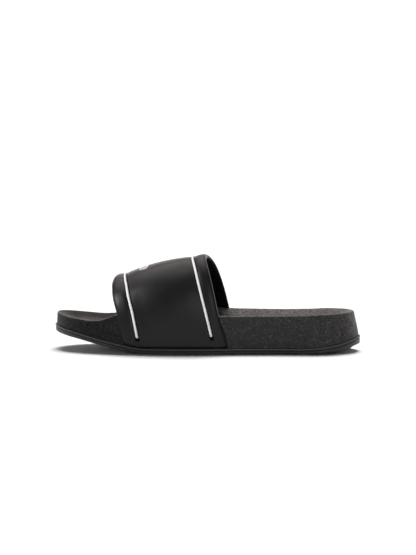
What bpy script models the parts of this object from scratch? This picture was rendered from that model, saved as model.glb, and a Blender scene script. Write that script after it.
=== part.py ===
"""Sport slide sandal, left shoe, in metres. The toe points along -X, the outer side along -Y, up is +Z."""

import math

import bmesh
import bpy
import numpy as np

MM = 0.001

# Sole
SHOE_LENGTH = 280 * MM
BALL_WIDTH = 105 * MM
TOE_ROUND = 48 * MM
HEEL_ROUND = 38 * MM
TOE_SPRING = 16.5 * MM
HEEL_LIFT = 7.3 * MM
BAND_HEIGHT = 5 * MM
LEDGE_RISE = 9.8 * MM
LIP = 1.4 * MM
RIB_HEIGHT = 1.6 * MM
RIB_GROOVE = 0.8 * MM
BAND_INSET = 0.4 * MM
SOLE_EDGE_ROUND = 1.1 * MM
WALL_HEIGHT = 30 * MM
WALL_LEAN = 2.2 * MM
RIM_ROUND = 1.8 * MM
MEDIAL_WING_BACK = 6 * MM
CUP_REACH = 17 * MM

# Tread
TREAD_DEPTH = 1.6 * MM
TREAD_WIDTH = 2.4 * MM
TREAD_PITCH = 11.5 * MM
TREAD_BORDER = 11 * MM
FOREFOOT_TREAD = (88 * MM, 136 * MM)
HEEL_TREAD = (190 * MM, 238 * MM)

# Strap
STRAP_WALL = 5.5 * MM
STRAP_PROUD = 2.4 * MM
STRAP_FRONT = 57 * MM
STRAP_CREST_LENGTH = 82.4 * MM
FRONT_LEAN = 11.4 * MM
REAR_LEAN = 22.5 * MM
LATERAL_SWING = 2 * MM
FRONT_CREST = 66 * MM
REAR_CREST = 87.6 * MM
FRONT_SHOULDER = 1.6 * MM
INSTEP_SHIFT = 3 * MM
STRAP_CORNER = 2.8 * MM
STRAP_EDGE_ROUND = 1 * MM
FRONT_ROLL = 3.6 * MM
REAR_ROLL = 3.2 * MM
STRAP_OVER_LEDGE = 0.5 * MM
PANEL_CROWN = 0.9 * MM
BAND_DIP = 0.9 * MM

# Piping and crest bar
PIPING_RADIUS = 1.15 * MM
PIPING_STANDS_OUT = 0.7 * MM
PIPING_END = 6.3 * MM
FRONT_BAND = 9.1 * MM
FRONT_BAND_SPREAD = 5.4 * MM
REAR_BAND = 12.65 * MM
REAR_BAND_SPREAD = 2 * MM
REAR_BAND_TAPER = 2 * MM
BAR_AT = 84.2 * MM
BAR_LENGTH = 30 * MM
BAR_WIDTH = 8 * MM
BAR_CORNER = 0.35
BAR_DEPTH = 0.8 * MM
BAR_STANDS_OUT = 0.2 * MM

GAP = 0.3 * MM

# Shape exponents: 2 is an ellipse, more is squarer
TOE_POWER = 2.15
HEEL_POWER = 2.1
ARCH_POWER = 2.3
CREST_BOW = 0.41
# Share of the way down over which the strap's lines round its crest
CREST_BEND = 0.12
SHOULDER_END = 0.1

# Mesh
LOOP_POINTS = 92
ARCH_STEPS = 14
LINING_STEPS = 8
SEAT_FROM = 0.5
PIPE_SIDES = 8
WELD = 1e-6


def named_columns(names, *rows):
    """A table with a name for each column, and one row for each section."""
    return {name: np.array(values) for name, values in zip(names.split(), zip(*rows))}


# Half widths as shares of the ball width, at shares of the length from the toe
OUTLINE = named_columns(
    "at lateral medial",
    (0.00, 0.330, 0.460),
    (0.12, 0.415, 0.475),
    (0.24, 0.475, 0.495),
    (0.36, 0.505, 0.475),
    (0.48, 0.485, 0.425),
    (0.60, 0.430, 0.375),
    (0.70, 0.390, 0.350),
    (0.82, 0.368, 0.350),
    (1.00, 0.350, 0.350),
)

# Height of the underside, as shares of the toe spring and of the heel lift
UNDERSIDE = named_columns(
    "at toe heel",
    (0.000, 1.00, 0.00),
    (0.050, 0.85, 0.00),
    (0.100, 0.71, 0.00),
    (0.140, 0.56, 0.00),
    (0.180, 0.41, 0.00),
    (0.220, 0.26, 0.00),
    (0.270, 0.095, 0.00),
    (0.315, 0.00, 0.00),
    (0.857, 0.00, 0.00),
    (0.910, 0.00, 0.20),
    (0.953, 0.00, 0.33),
    (0.970, 0.00, 0.53),
    (0.983, 0.00, 0.84),
    (1.000, 0.00, 1.00),
)

# How far the ledge climbs at the toe's tip and at the heel, as shares of its rise
LEDGE = named_columns(
    "at rise",
    (0.000, 0.12),
    (0.060, 0.07),
    (0.150, 0.00),
    (0.820, 0.00),
    (0.857, 0.05),
    (0.914, 0.24),
    (0.945, 0.43),
    (0.985, 0.82),
    (1.000, 1.00),
)

# Rim and footbed above the ledge as shares of the wall height, and the wall's lean as a share of its own
SIDE = named_columns(
    "at rim foot lean",
    (0.00, 0.378, 0.220, 0.15),
    (0.06, 0.400, 0.277, 0.55),
    (0.11, 0.452, 0.340, 1.00),
    (0.16, 0.560, 0.405, 1.00),
    (0.182, 0.660, 0.432, 1.00),
    (0.203, 0.785, 0.462, 1.00),
    (0.22, 0.870, 0.500, 1.00),
    (0.27, 1.000, 0.600, 1.00),
    (0.32, 1.037, 0.645, 1.00),
    (0.42, 1.037, 0.665, 1.00),
    (0.59, 0.990, 0.720, 1.00),
    (0.72, 0.990, 0.737, 1.00),
    (0.86, 1.010, 0.745, 1.20),
    (0.93, 0.940, 0.690, 1.45),
    (1.00, 0.745, 0.510, 1.90),
)

# Outer wall of the footbed: share of the way up, share of the lean
WALL = named_columns(
    "up lean",
    (0.30, 0.26),
    (0.60, 0.56),
    (0.85, 0.84),
)

# Slope from the rim into the cup: share of its reach, share of its drop
CUP = named_columns(
    "reach drop",
    (0.12, 0.06),
    (0.30, 0.26),
    (0.50, 0.54),
    (0.75, 0.86),
    (1.00, 1.00),
)

# Front edge of the strap: share of the way down from the crest, share of its lean
FRONT_EDGE = named_columns(
    "down lean",
    (0.00, -0.13),
    (0.08, -0.165),
    (0.25, -0.195),
    (0.34, -0.135),
    (0.42, -0.07),
    (0.50, 0.02),
    (0.58, 0.155),
    (0.71, 0.43),
    (0.90, 0.80),
    (1.00, 1.00),
)

# How far the rear edge swings back on the lateral side: share of the way down, share of its swing
REAR_SWING = named_columns(
    "down swing",
    (0.00, 0.00),
    (0.05, -0.10),
    (0.15, -0.60),
    (0.30, -0.92),
    (0.55, -0.92),
    (0.72, -0.78),
    (0.80, -0.60),
    (0.87, -0.10),
    (0.92, 0.55),
    (1.00, 1.10),
)


def smooth_at(table, column, key, where):
    """The column's value at each place, on a smooth curve through the rows that never overshoots one."""
    xs = table[key]
    ys = table[column]
    where = np.clip(where, xs[0], xs[-1])
    slopes = np.diff(ys) / np.diff(xs)
    before, after = slopes[:-1], slopes[1:]
    total = before + after
    same_way = before * after > 0
    middle = np.where(same_way, 2 * before * after / np.where(same_way, total, 1), 0)
    tangents = np.concatenate([slopes[:1], middle, slopes[-1:]])
    row = np.clip(np.searchsorted(xs, where, side="right") - 1, 0, len(xs) - 2)
    step = xs[row + 1] - xs[row]
    t = (where - xs[row]) / step
    return (
        (2 * t**3 - 3 * t**2 + 1) * ys[row]
        + (t**3 - 2 * t**2 + t) * step * tangents[row]
        + (3 * t**2 - 2 * t**3) * ys[row + 1]
        + (t**3 - t**2) * step * tangents[row + 1]
    )


def smooth_step(low, high, value):
    """0 below low, 1 above high, and a smooth S between."""
    t = np.clip((value - low) / (high - low), 0, 1)
    return t * t * (3 - 2 * t)


def end_rounding(distance, reach, power):
    """1 along the body of the shoe, falling to 0 at its end as a superellipse's quarter."""
    inside = np.clip(1 - distance / reach, 0, 1)
    return (1 - inside**power) ** (1 / power)


def half_widths(x):
    """(lateral, medial) distance of the outline from the shoe's axis, at places along X."""
    from_toe = x + SHOE_LENGTH / 2
    at = from_toe / SHOE_LENGTH
    lateral = BALL_WIDTH * smooth_at(OUTLINE, "lateral", "at", at)
    medial = BALL_WIDTH * smooth_at(OUTLINE, "medial", "at", at)
    rounding = end_rounding(from_toe, TOE_ROUND, TOE_POWER)
    rounding = rounding * end_rounding(SHOE_LENGTH - from_toe, HEEL_ROUND, HEEL_POWER)
    middle = (medial - lateral) / 2
    half = (medial + lateral) / 2 * rounding
    return half - middle, half + middle


def sole_share(x):
    return x / SHOE_LENGTH + 0.5


def underside(x, _y=0):
    """Height of the sole's underside over the floor."""
    toe = TOE_SPRING * smooth_at(UNDERSIDE, "toe", "at", sole_share(x))
    return toe + HEEL_LIFT * smooth_at(UNDERSIDE, "heel", "at", sole_share(x))


def ledge(x, _y=0):
    """Height of the outsole's upper face, where the footbed stands on it."""
    toe = TOE_SPRING * smooth_at(UNDERSIDE, "toe", "at", sole_share(x))
    rise = LEDGE_RISE * smooth_at(LEDGE, "rise", "at", sole_share(x))
    return toe + BAND_HEIGHT + rise


def wing_share(x, y):
    """Where the side table is read: the wings of the medial side rise further back than those of the lateral."""
    medial = smooth_step(-0.1 * BALL_WIDTH, 0.1 * BALL_WIDTH, y)
    forward = smooth_step(0, 0.2, 0.5 - sole_share(x))
    return sole_share(x - MEDIAL_WING_BACK * medial * forward)


def rim(x, y):
    return ledge(x) + WALL_HEIGHT * smooth_at(SIDE, "rim", "at", wing_share(x, y))


def foot_level(x, y):
    return ledge(x) + WALL_HEIGHT * smooth_at(SIDE, "foot", "at", wing_share(x, y))


def outline_loop():
    """Points once round the outline in plan, and the outward direction at each."""
    angle = np.arange(LOOP_POINTS) * 2 * math.pi / LOOP_POINTS
    x = -SHOE_LENGTH / 2 * np.cos(angle)
    lateral, medial = half_widths(x)
    y = np.where(np.sin(angle) > 0, medial, -lateral)
    points = np.stack([x, y], axis=1)
    along = np.roll(points, -1, axis=0) - np.roll(points, 1, axis=0)
    outward = np.stack([-along[:, 1], along[:, 0]], axis=1)
    outward /= np.linalg.norm(outward, axis=1)[:, None]
    return points, outward


def inset_ring(inset, height):
    """The outline moved inwards, at the height that the function gives for each of its points."""
    points, outward = outline_loop()
    moved = points - outward * np.reshape(inset, (-1, 1))
    return np.column_stack([moved, height(moved[:, 0], moved[:, 1])])


def ring_to_spine(ring, share, height):
    """The ring drawn in toward the line along the shoe's middle, by a share of the way."""
    points, _ = outline_loop()
    x = np.clip(points[:, 0], -SHOE_LENGTH / 2 + TOE_ROUND, SHOE_LENGTH / 2 - HEEL_ROUND)
    lateral, medial = half_widths(x)
    spine = np.column_stack([x, (medial - lateral) / 2])
    moved = ring[:, :2] + (spine - ring[:, :2]) * share
    return np.column_stack([moved, height(moved[:, 0], moved[:, 1])])


def mesh_from_rings(name, rings, cap_ends):
    """One closed skin through rings of equal count, whose first and last are capped or already drawn to a line."""
    mesh = bpy.data.meshes.new(name)
    build = bmesh.new()
    rows = [[build.verts.new(point) for point in ring] for ring in rings]
    count = len(rings[0])
    for low, high in zip(rows, rows[1:]):
        for i in range(count):
            j = (i + 1) % count
            build.faces.new((low[i], low[j], high[j], high[i]))
    if cap_ends:
        build.faces.new(rows[0])
        build.faces.new(rows[-1])
    bmesh.ops.remove_doubles(build, verts=build.verts, dist=WELD)
    bmesh.ops.dissolve_degenerate(build, edges=build.edges, dist=WELD)
    bmesh.ops.recalc_face_normals(build, faces=build.faces)
    if build.calc_volume(signed=True) < 0:
        bmesh.ops.reverse_faces(build, faces=build.faces)
    build.to_mesh(mesh)
    build.free()
    return mesh


def add_object(name, mesh, colour, roughness, sharp_degrees=40):
    """A named object with its own material, shaded smooth between its sharp edges."""
    material = bpy.data.materials.new(name)
    material.use_nodes = True
    shader = material.node_tree.nodes["Principled BSDF"]
    shader.inputs["Base Color"].default_value = (*colour, 1)
    shader.inputs["Roughness"].default_value = roughness
    shader.inputs["Metallic"].default_value = 0
    mesh.materials.append(material)
    mesh.shade_smooth()
    mesh.set_sharp_from_angle(angle=math.radians(sharp_degrees))
    part = bpy.data.objects.new(name, mesh)
    bpy.context.scene.collection.objects.link(part)
    return part


def cut_away(part, cutter):
    """Cuts the cutter's shape from the part, and keeps the cutter out of the result."""
    cutter.hide_render = True
    cutter.display_type = "WIRE"
    cut = part.modifiers.new(cutter.name, "BOOLEAN")
    cut.operation = "DIFFERENCE"
    cut.solver = "EXACT"
    cut.object = cutter


def add_cutter(name, mesh):
    cutter = bpy.data.objects.new(name, mesh)
    bpy.context.scene.collection.objects.link(cutter)
    return cutter


# Outsole


def outsole_rings():
    """From the middle of the underside, round the side band with its rib, to the middle of the upper face."""
    lower = inset_ring(BAND_INSET + SOLE_EDGE_ROUND, underside)
    upper = inset_ring(LIP, ledge)

    def over_underside(rise):
        return lambda x, _y: underside(x) + rise

    def under_ledge(drop):
        return lambda x, _y: ledge(x) - drop

    return [
        ring_to_spine(lower, 1.0, underside),
        ring_to_spine(lower, 0.5, underside),
        lower,
        inset_ring(BAND_INSET + 0.3 * SOLE_EDGE_ROUND, over_underside(0.3 * SOLE_EDGE_ROUND)),
        inset_ring(BAND_INSET, over_underside(SOLE_EDGE_ROUND)),
        inset_ring(BAND_INSET, under_ledge(RIB_HEIGHT + RIB_GROOVE)),
        inset_ring(LIP / 2 + BAND_INSET, under_ledge(RIB_HEIGHT + 0.8 * RIB_GROOVE)),
        inset_ring(LIP / 2 + BAND_INSET, under_ledge(RIB_HEIGHT + 0.2 * RIB_GROOVE)),
        inset_ring(0, under_ledge(RIB_HEIGHT - 0.2 * RIB_GROOVE)),
        inset_ring(0, under_ledge(0.3 * RIB_HEIGHT)),
        inset_ring(0.3 * RIB_HEIGHT, ledge),
        upper,
        ring_to_spine(upper, 0.5, ledge),
        ring_to_spine(upper, 1.0, ledge),
    ]


def tread_cutter():
    """Straight channels across the flat of the underside, clear of its border, as one mesh."""
    build = bmesh.new()
    for first, last in (FOREFOOT_TREAD, HEEL_TREAD):
        count = int((last - first) / TREAD_PITCH) + 1
        for i in range(count):
            x = first + i * TREAD_PITCH - SHOE_LENGTH / 2
            lateral, medial = (float(side) - TREAD_BORDER for side in half_widths(np.array(x)))
            box = bmesh.ops.create_cube(build, size=1)
            for corner in box["verts"]:
                corner.co.x = x + corner.co.x * TREAD_WIDTH
                corner.co.y = medial if corner.co.y > 0 else -lateral
                corner.co.z = corner.co.z * 2 * TREAD_DEPTH
    mesh = bpy.data.meshes.new("tread_cutter")
    build.to_mesh(mesh)
    build.free()
    return add_cutter("tread_cutter", mesh)


def make_outsole():
    mesh = mesh_from_rings("outsole", outsole_rings(), cap_ends=False)
    outsole = add_object("outsole", mesh, (0.022, 0.022, 0.023), 0.55)
    cut_away(outsole, tread_cutter())
    return outsole


# Footbed


def wall_inset(up):
    """How far the footbed's wall lies inside the outline, with a share of its lean."""
    points, _ = outline_loop()
    lean = WALL_LEAN * smooth_at(SIDE, "lean", "at", sole_share(points[:, 0]))
    return LIP + lean * up


def footbed_rings():
    """From the middle of the flat base, up the wall, over the rim and down into the cup."""

    def foot(x, _y=0):
        return ledge(x) + GAP

    def up_the_wall(up):
        return lambda x, y: foot(x) + up * (rim(x, y) - RIM_ROUND - foot(x))

    def under_rim(drop):
        return lambda x, y: rim(x, y) - drop

    def into_cup(share):
        return lambda x, y: rim(x, y) + share * (foot_level(x, y) - rim(x, y))

    base = inset_ring(LIP + GAP, foot)
    rings = [
        ring_to_spine(base, 1.0, foot),
        ring_to_spine(base, 0.5, foot),
        base,
        inset_ring(LIP, lambda x, _y: foot(x) + GAP),
    ]
    for up, lean in zip(WALL["up"], WALL["lean"]):
        rings.append(inset_ring(wall_inset(lean), up_the_wall(up)))
    for quarter in (0, 1 / 3, 2 / 3, 1):
        inward = RIM_ROUND * (1 - math.cos(quarter * math.pi / 2))
        drop = RIM_ROUND * (1 - math.sin(quarter * math.pi / 2))
        rings.append(inset_ring(wall_inset(1) + inward, under_rim(drop)))
    for reach, share in zip(CUP["reach"], CUP["drop"]):
        inward = wall_inset(1) + RIM_ROUND + reach * CUP_REACH
        rings.append(inset_ring(inward, into_cup(share)))
    rings.append(ring_to_spine(rings[-1], 0.5, foot_level))
    rings.append(ring_to_spine(rings[-2], 1.0, foot_level))
    return rings


def make_footbed():
    mesh = mesh_from_rings("footbed", footbed_rings(), cap_ends=False)
    footbed = add_object("footbed", mesh, (0.035, 0.034, 0.035), 0.6)
    for side in (-1, 1):
        cut_away(footbed, strap_seat_cutter(side))
    return footbed


# Strap


def from_crest(down):
    """The share of the way down the strap, rounded off where the strap crosses its crest."""
    return (np.hypot(down, CREST_BEND) - CREST_BEND) / (math.hypot(1, CREST_BEND) - CREST_BEND)


def rear_swing(across):
    """How far the rear edge swings from its even line on the lateral side."""
    swing = LATERAL_SWING * smooth_at(REAR_SWING, "swing", "down", np.abs(across))
    return np.where(np.less(across, 0), swing, 0)


def strap_edges(across):
    """X of the strap's front and rear edge, from -1 at the lateral foot over 0 on the crest to 1."""
    down = np.abs(across)
    front = STRAP_FRONT - SHOE_LENGTH / 2
    rear = front + STRAP_CREST_LENGTH + REAR_LEAN * from_crest(down) + rear_swing(across)
    return front + FRONT_LEAN * smooth_at(FRONT_EDGE, "lean", "down", down), rear


def strap_skin(along, across):
    """A point of the strap's face: along is 0 at the front edge and 1 at the rear, across is -1 at the lateral foot,
    0 on the crest and 1 at the medial foot. Each section is a superellipse's upper half on the sole's own width."""
    down = np.abs(across)
    front, rear = strap_edges(across)
    x = front + along * (rear - front)
    foot_front, foot_rear = strap_edges(np.ones_like(down))
    foot_x = foot_front + along * (foot_rear - foot_front)
    lateral, medial = half_widths(foot_x)
    side = STRAP_PROUD - LIP
    crest_y = (medial - lateral) / 2 + INSTEP_SHIFT
    reach = np.where(across < 0, lateral + side + crest_y, medial + side - crest_y)
    foot_z = ledge(foot_x) + STRAP_OVER_LEDGE
    crest_z = FRONT_CREST + (REAR_CREST - FRONT_CREST) * along * (1 + CREST_BOW * (1 - along))
    crest_z = crest_z + FRONT_SHOULDER * np.clip(1 - along / SHOULDER_END, 0, 1) ** 1.5
    turn = down * math.pi / 2
    y = crest_y + np.sign(across) * reach * np.sin(turn) ** (2 / ARCH_POWER)
    z = foot_z + (crest_z - foot_z) * np.clip(np.cos(turn), 0, 1) ** (2 / ARCH_POWER)
    return np.stack([x, y, z], axis=-1)


def strap_frame(along, across):
    """(point, outward, backward) on the strap's face."""
    step = 1e-3
    inner = np.clip(across, -1 + step, 1 - step)
    backward = strap_skin(along + step, inner) - strap_skin(along - step, inner)
    sideways = strap_skin(along, inner + step) - strap_skin(along, inner - step)
    outward = np.cross(backward, sideways)
    outward /= np.linalg.norm(outward, axis=-1, keepdims=True)
    backward /= np.linalg.norm(backward, axis=-1, keepdims=True)
    return strap_skin(along, across), outward, backward


def strap_span(across):
    front, rear = strap_edges(across)
    return rear - front


def arch_half_length():
    """Length of the strap's face from crest to foot, halfway along it."""
    across = np.linspace(0, 1, 60)
    line = strap_skin(np.full_like(across, 0.5), across)
    return float(np.linalg.norm(np.diff(line, axis=0), axis=1).sum())


def arch_stations():
    """Values of across from foot to foot, closer together where the lower corners are rounded."""
    length = arch_half_length()
    near_foot = np.array([0, 0.3, 0.9, 1.6, 3.2, 5.5, 8]) * MM / length
    side = np.concatenate([1 - near_foot, np.linspace(1 - 2 * near_foot[-1], 0, ARCH_STEPS)])
    return np.concatenate([-side, side[-2::-1]])


def piping_lines(across):
    """Distance of the front piping from the front edge, and of the rear piping from the rear edge."""
    down = from_crest(np.abs(across))
    front = FRONT_BAND + FRONT_BAND_SPREAD * (1 - (1 - down) ** 4)
    rear = REAR_BAND + REAR_BAND_SPREAD * np.sin(down * math.pi) - REAR_BAND_TAPER * down
    return front, rear + rear_swing(across)


def groove_depth():
    return 2 * PIPING_RADIUS + GAP - PIPING_STANDS_OUT


def lining_columns():
    """Shares of the way from the front edge to the rear at which the lining side has its points."""
    return np.linspace(0, 1, LINING_STEPS + 1)


def strap_section(across):
    """The strap's closed outline at one station: distance behind the front edge, and height over the lining."""
    span = float(strap_span(across))
    front, rear = (float(line) for line in piping_lines(across))
    from_foot = (1 - abs(across)) * arch_half_length()
    groove = groove_depth() * min(max((from_foot - PIPING_END + 2 * MM) / (1.5 * MM), 0), 1)
    half_groove = PIPING_RADIUS + GAP
    edge = STRAP_WALL / 2
    shoulder = STRAP_WALL - BAND_DIP
    turns = np.radians([-90, -50, -15, 15, 45, 70, 90])

    def edge_roll(reach):
        return [((reach if turn > 0 else edge) * (1 - math.cos(turn)), edge * (1 + math.sin(turn))) for turn in turns]

    def groove_at(centre):
        return [
            (centre - half_groove, shoulder),
            (centre - half_groove, shoulder - groove),
            (centre + half_groove, shoulder - groove),
            (centre + half_groove, shoulder),
        ]

    panel_start = front + half_groove
    panel = span - rear - half_groove - panel_start
    crown = [(panel_start + share * panel, shoulder + (BAND_DIP + PANEL_CROWN) * math.sin(math.pi * share) ** 0.6)
             for share in (0.06, 0.2, 0.4, 0.6, 0.8, 0.94)]
    outline = edge_roll(FRONT_ROLL) + groove_at(front) + crown + groove_at(span - rear)
    outline += [(span - back, height) for back, height in reversed(edge_roll(REAR_ROLL))]
    outline += [(share * span, 0) for share in lining_columns()[-2:0:-1]]
    return np.array(outline), from_foot, span


def corner_trim(from_foot):
    """How far the rounded lower corners draw the strap's edges in, at a height over its foot."""
    into_corner = max(STRAP_CORNER - from_foot, 0)
    return STRAP_CORNER - math.sqrt(STRAP_CORNER**2 - into_corner**2)


def foot_rounding(outline, from_foot, span):
    """The section near a foot, drawn in for the rounded lower corners and thinned for the rounded lower edge."""
    behind, height = outline[:, 0], outline[:, 1]
    trim = corner_trim(from_foot)
    behind = trim + behind * (span - 2 * trim) / span
    into_edge = min(max(STRAP_EDGE_ROUND - from_foot, 0), 0.9 * STRAP_EDGE_ROUND)
    thickness = math.sqrt(1 - (into_edge / STRAP_EDGE_ROUND) ** 2)
    middle = STRAP_WALL / 2
    return behind, middle + (height - middle) * thickness


def strap_rings():
    rings = []
    for across in arch_stations():
        outline, from_foot, span = strap_section(across)
        behind, height = foot_rounding(outline, from_foot, span)
        point, outward, _ = strap_frame(behind / span, np.full(len(behind), across))
        rings.append(point + outward * (height - STRAP_WALL)[:, None])
    return rings


def strap_seat_cutter(side):
    """The space that one foot of the strap takes in the footbed's wall, with a gap all round."""
    rings = []
    columns = lining_columns()
    stations = arch_stations()
    for down in stations[stations >= SEAT_FROM]:
        across = np.full(len(columns), side * down)
        span = strap_span(across)
        trim = corner_trim((1 - down) * arch_half_length())
        along = columns + (2 * columns - 1) * (GAP - trim) / span
        point, outward, _ = strap_frame(along, across)
        inner = point - outward * (STRAP_WALL + GAP)
        outer = point + outward * STRAP_WALL
        rings.append(np.concatenate([inner, outer[::-1]]))
    below = rings[-1].copy()
    below[:, 2] -= STRAP_OVER_LEDGE + BAND_HEIGHT
    rings.append(below)
    name = "seat_cutter_lateral" if side < 0 else "seat_cutter_medial"
    return add_cutter(name, mesh_from_rings(name, rings, cap_ends=True))


def bar_ring(size_x, size_y, height):
    """A rounded rectangle round the bar's centre, laid on the strap's face at a height over it."""
    turns = np.arange(28) * 2 * math.pi / 28
    reach_x = np.sign(np.cos(turns)) * np.abs(np.cos(turns)) ** BAR_CORNER
    reach_y = np.sign(np.sin(turns)) * np.abs(np.sin(turns)) ** BAR_CORNER
    along = (BAR_AT - STRAP_FRONT + reach_x * size_x / 2) / STRAP_CREST_LENGTH
    across = reach_y * size_y / 2 / arch_half_length()
    point, outward, _ = strap_frame(along, across)
    return point + outward * np.reshape(height, (-1, 1))


def bar_rings(grow, bottom, top):
    """The bar's or its recess's rings, from the middle of its underside to the middle of its top."""
    shares = (0.02, 0.5, 1)
    lower = [bar_ring(BAR_WIDTH * share + 2 * grow, BAR_LENGTH * share + 2 * grow, bottom) for share in shares]
    upper = [bar_ring(BAR_WIDTH * share + 2 * grow, BAR_LENGTH * share + 2 * grow, top) for share in shares]
    return lower + upper[::-1]


def panel_face():
    """Height of the panel's crown over the strap's face, where the bar lies."""
    share = (BAR_AT - STRAP_FRONT - FRONT_BAND) / (STRAP_CREST_LENGTH - FRONT_BAND - REAR_BAND)
    return PANEL_CROWN * math.sin(math.pi * share) ** 0.6


def make_strap():
    mesh = mesh_from_rings("strap", strap_rings(), cap_ends=True)
    strap = add_object("strap", mesh, (0.03, 0.03, 0.031), 0.6)
    recess = bar_rings(GAP, panel_face() - BAR_DEPTH - GAP, STRAP_WALL)
    cut_away(strap, add_cutter("bar_cutter", mesh_from_rings("bar_cutter", recess, cap_ends=True)))
    return strap


def make_crest_bar():
    rings = bar_rings(0, panel_face() - BAR_DEPTH, panel_face() + BAR_STANDS_OUT)
    return add_object("crest_bar", mesh_from_rings("crest_bar", rings, cap_ends=True), (0.8, 0.8, 0.79), 0.45)


# Piping


def piping_rings(from_edge):
    """Round sections along one groove, from near one foot of the strap to near the other."""
    length = arch_half_length()
    last = 1 - PIPING_END / length
    tip = PIPING_RADIUS / length
    inner = np.linspace(-last + tip, last - tip, 2 * ARCH_STEPS + 1)
    across = np.concatenate([[-last, -last + 0.3 * tip], inner, [last - 0.3 * tip, last]])
    thickness = np.concatenate([[0.4, 0.8], np.ones(len(inner)), [0.8, 0.4]])
    centre_height = STRAP_WALL - BAND_DIP - groove_depth() + GAP + PIPING_RADIUS
    turns = np.arange(PIPE_SIDES) * 2 * math.pi / PIPE_SIDES
    along = from_edge(across) / strap_span(across)
    point, outward, backward = strap_frame(along, across)
    point = point + outward * (centre_height - STRAP_WALL)
    rings = []
    for place, up, back, share in zip(point, outward, backward, thickness):
        radius = PIPING_RADIUS * share
        rings.append(place + radius * (np.outer(np.cos(turns), up) + np.outer(np.sin(turns), back)))
    return rings


def make_piping():
    lines = {
        "piping_front": lambda across: piping_lines(across)[0],
        "piping_rear": lambda across: strap_span(across) - piping_lines(across)[1],
    }
    parts = []
    for name, from_edge in lines.items():
        mesh = mesh_from_rings(name, piping_rings(from_edge), cap_ends=True)
        parts.append(add_object(name, mesh, (0.8, 0.8, 0.79), 0.5, 60))
    return parts


# Whole shoe


def stand_on_origin(parts):
    """Moves every mesh so that the middle of the whole shoe's box stands on the origin."""
    bpy.context.view_layer.update()
    corners = np.array([part.matrix_world @ vertex.co for part in parts for vertex in part.data.vertices])
    low, high = corners.min(axis=0), corners.max(axis=0)
    origin = bpy.data.objects.new("shoe_middle", None)
    bpy.context.scene.collection.objects.link(origin)
    for thing in list(bpy.context.scene.objects):
        if thing is not origin:
            thing.parent = origin
    origin.location = (-(low[0] + high[0]) / 2, -(low[1] + high[1]) / 2, -low[2])


def make_sandal():
    for thing in list(bpy.data.objects):
        bpy.data.objects.remove(thing, do_unlink=True)
    parts = [make_outsole(), make_footbed(), make_strap(), make_crest_bar(), *make_piping()]
    stand_on_origin(parts)


make_sandal()
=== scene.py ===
import math

import bmesh
import bpy
import numpy as np
from bpy.props import FloatProperty, FloatVectorProperty, IntProperty, PointerProperty
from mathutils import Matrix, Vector


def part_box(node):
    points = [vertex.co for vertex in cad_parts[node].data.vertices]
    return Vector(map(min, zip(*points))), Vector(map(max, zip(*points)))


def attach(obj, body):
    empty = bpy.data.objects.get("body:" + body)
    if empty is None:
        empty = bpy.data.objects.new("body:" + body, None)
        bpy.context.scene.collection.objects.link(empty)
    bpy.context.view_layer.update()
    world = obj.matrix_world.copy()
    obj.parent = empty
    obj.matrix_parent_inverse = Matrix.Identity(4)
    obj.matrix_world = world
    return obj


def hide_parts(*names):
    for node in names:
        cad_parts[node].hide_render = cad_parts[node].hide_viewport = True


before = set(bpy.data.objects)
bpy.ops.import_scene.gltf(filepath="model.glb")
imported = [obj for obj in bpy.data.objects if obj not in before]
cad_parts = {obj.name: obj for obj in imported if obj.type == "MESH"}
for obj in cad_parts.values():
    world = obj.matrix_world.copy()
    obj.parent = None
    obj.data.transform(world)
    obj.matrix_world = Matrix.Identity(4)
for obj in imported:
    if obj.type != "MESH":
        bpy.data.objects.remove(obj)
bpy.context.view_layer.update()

bl_info = {
    "name": "Slide Sandal Finish",
    "version": (1, 0, 0),
    "blender": (4, 5, 0),
    "location": "View3D > Sidebar > Slide",
    "description": "Dresses the slide sandal's solids in their finished surfaces",
    "category": "Object",
}

MM = 0.001

# Sole, as the frame's solids have it
SHOE_LENGTH = 280 * MM
BALL_WIDTH = 105 * MM
TOE_ROUND = 48 * MM
HEEL_ROUND = 38 * MM
TOE_SPRING = 16.5 * MM
HEEL_LIFT = 7.3 * MM
BAND_HEIGHT = 5 * MM
LEDGE_RISE = 9.8 * MM
LIP = 1.4 * MM
RIB_HEIGHT = 1.6 * MM
RIB_GROOVE = 0.8 * MM
BAND_INSET = 0.4 * MM
SOLE_EDGE_ROUND = 1.1 * MM
WALL_HEIGHT = 30 * MM
WALL_LEAN = 2.2 * MM
RIM_ROUND = 1.8 * MM
MEDIAL_WING_BACK = 6 * MM
CUP_REACH = 17 * MM
TREAD_DEPTH = 1.6 * MM
TREAD_WIDTH = 2.4 * MM
TREAD_PITCH = 11.5 * MM
TREAD_BORDER = 11 * MM
TREADS = ((88 * MM, 136 * MM), (190 * MM, 238 * MM))

# Strap, as the frame's solids have it
STRAP_WALL = 5.5 * MM
STRAP_PROUD = 2.4 * MM
STRAP_FRONT = 57 * MM
STRAP_CREST_LENGTH = 82.4 * MM
FRONT_LEAN = 11.4 * MM
REAR_LEAN = 22.5 * MM
LATERAL_SWING = 2 * MM
FRONT_CREST = 66 * MM
REAR_CREST = 87.6 * MM
FRONT_SHOULDER = 1.6 * MM
INSTEP_SHIFT = 3 * MM
STRAP_CORNER = 2.8 * MM
STRAP_EDGE_ROUND = 1 * MM
FRONT_ROLL = 3.6 * MM
REAR_ROLL = 3.2 * MM
STRAP_OVER_LEDGE = 0.5 * MM
PANEL_CROWN = 0.9 * MM
BAND_DIP = 0.9 * MM
PIPING_RADIUS = 1.15 * MM
PIPING_STANDS_OUT = 0.7 * MM
PIPING_END = 6.3 * MM
FRONT_BAND = 9.1 * MM
FRONT_BAND_SPREAD = 5.4 * MM
REAR_BAND = 12.65 * MM
REAR_BAND_SPREAD = 2 * MM
REAR_BAND_TAPER = 2 * MM
BAR_AT = 84.2 * MM
BAR_LENGTH = 30 * MM
BAR_WIDTH = 8 * MM
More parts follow.
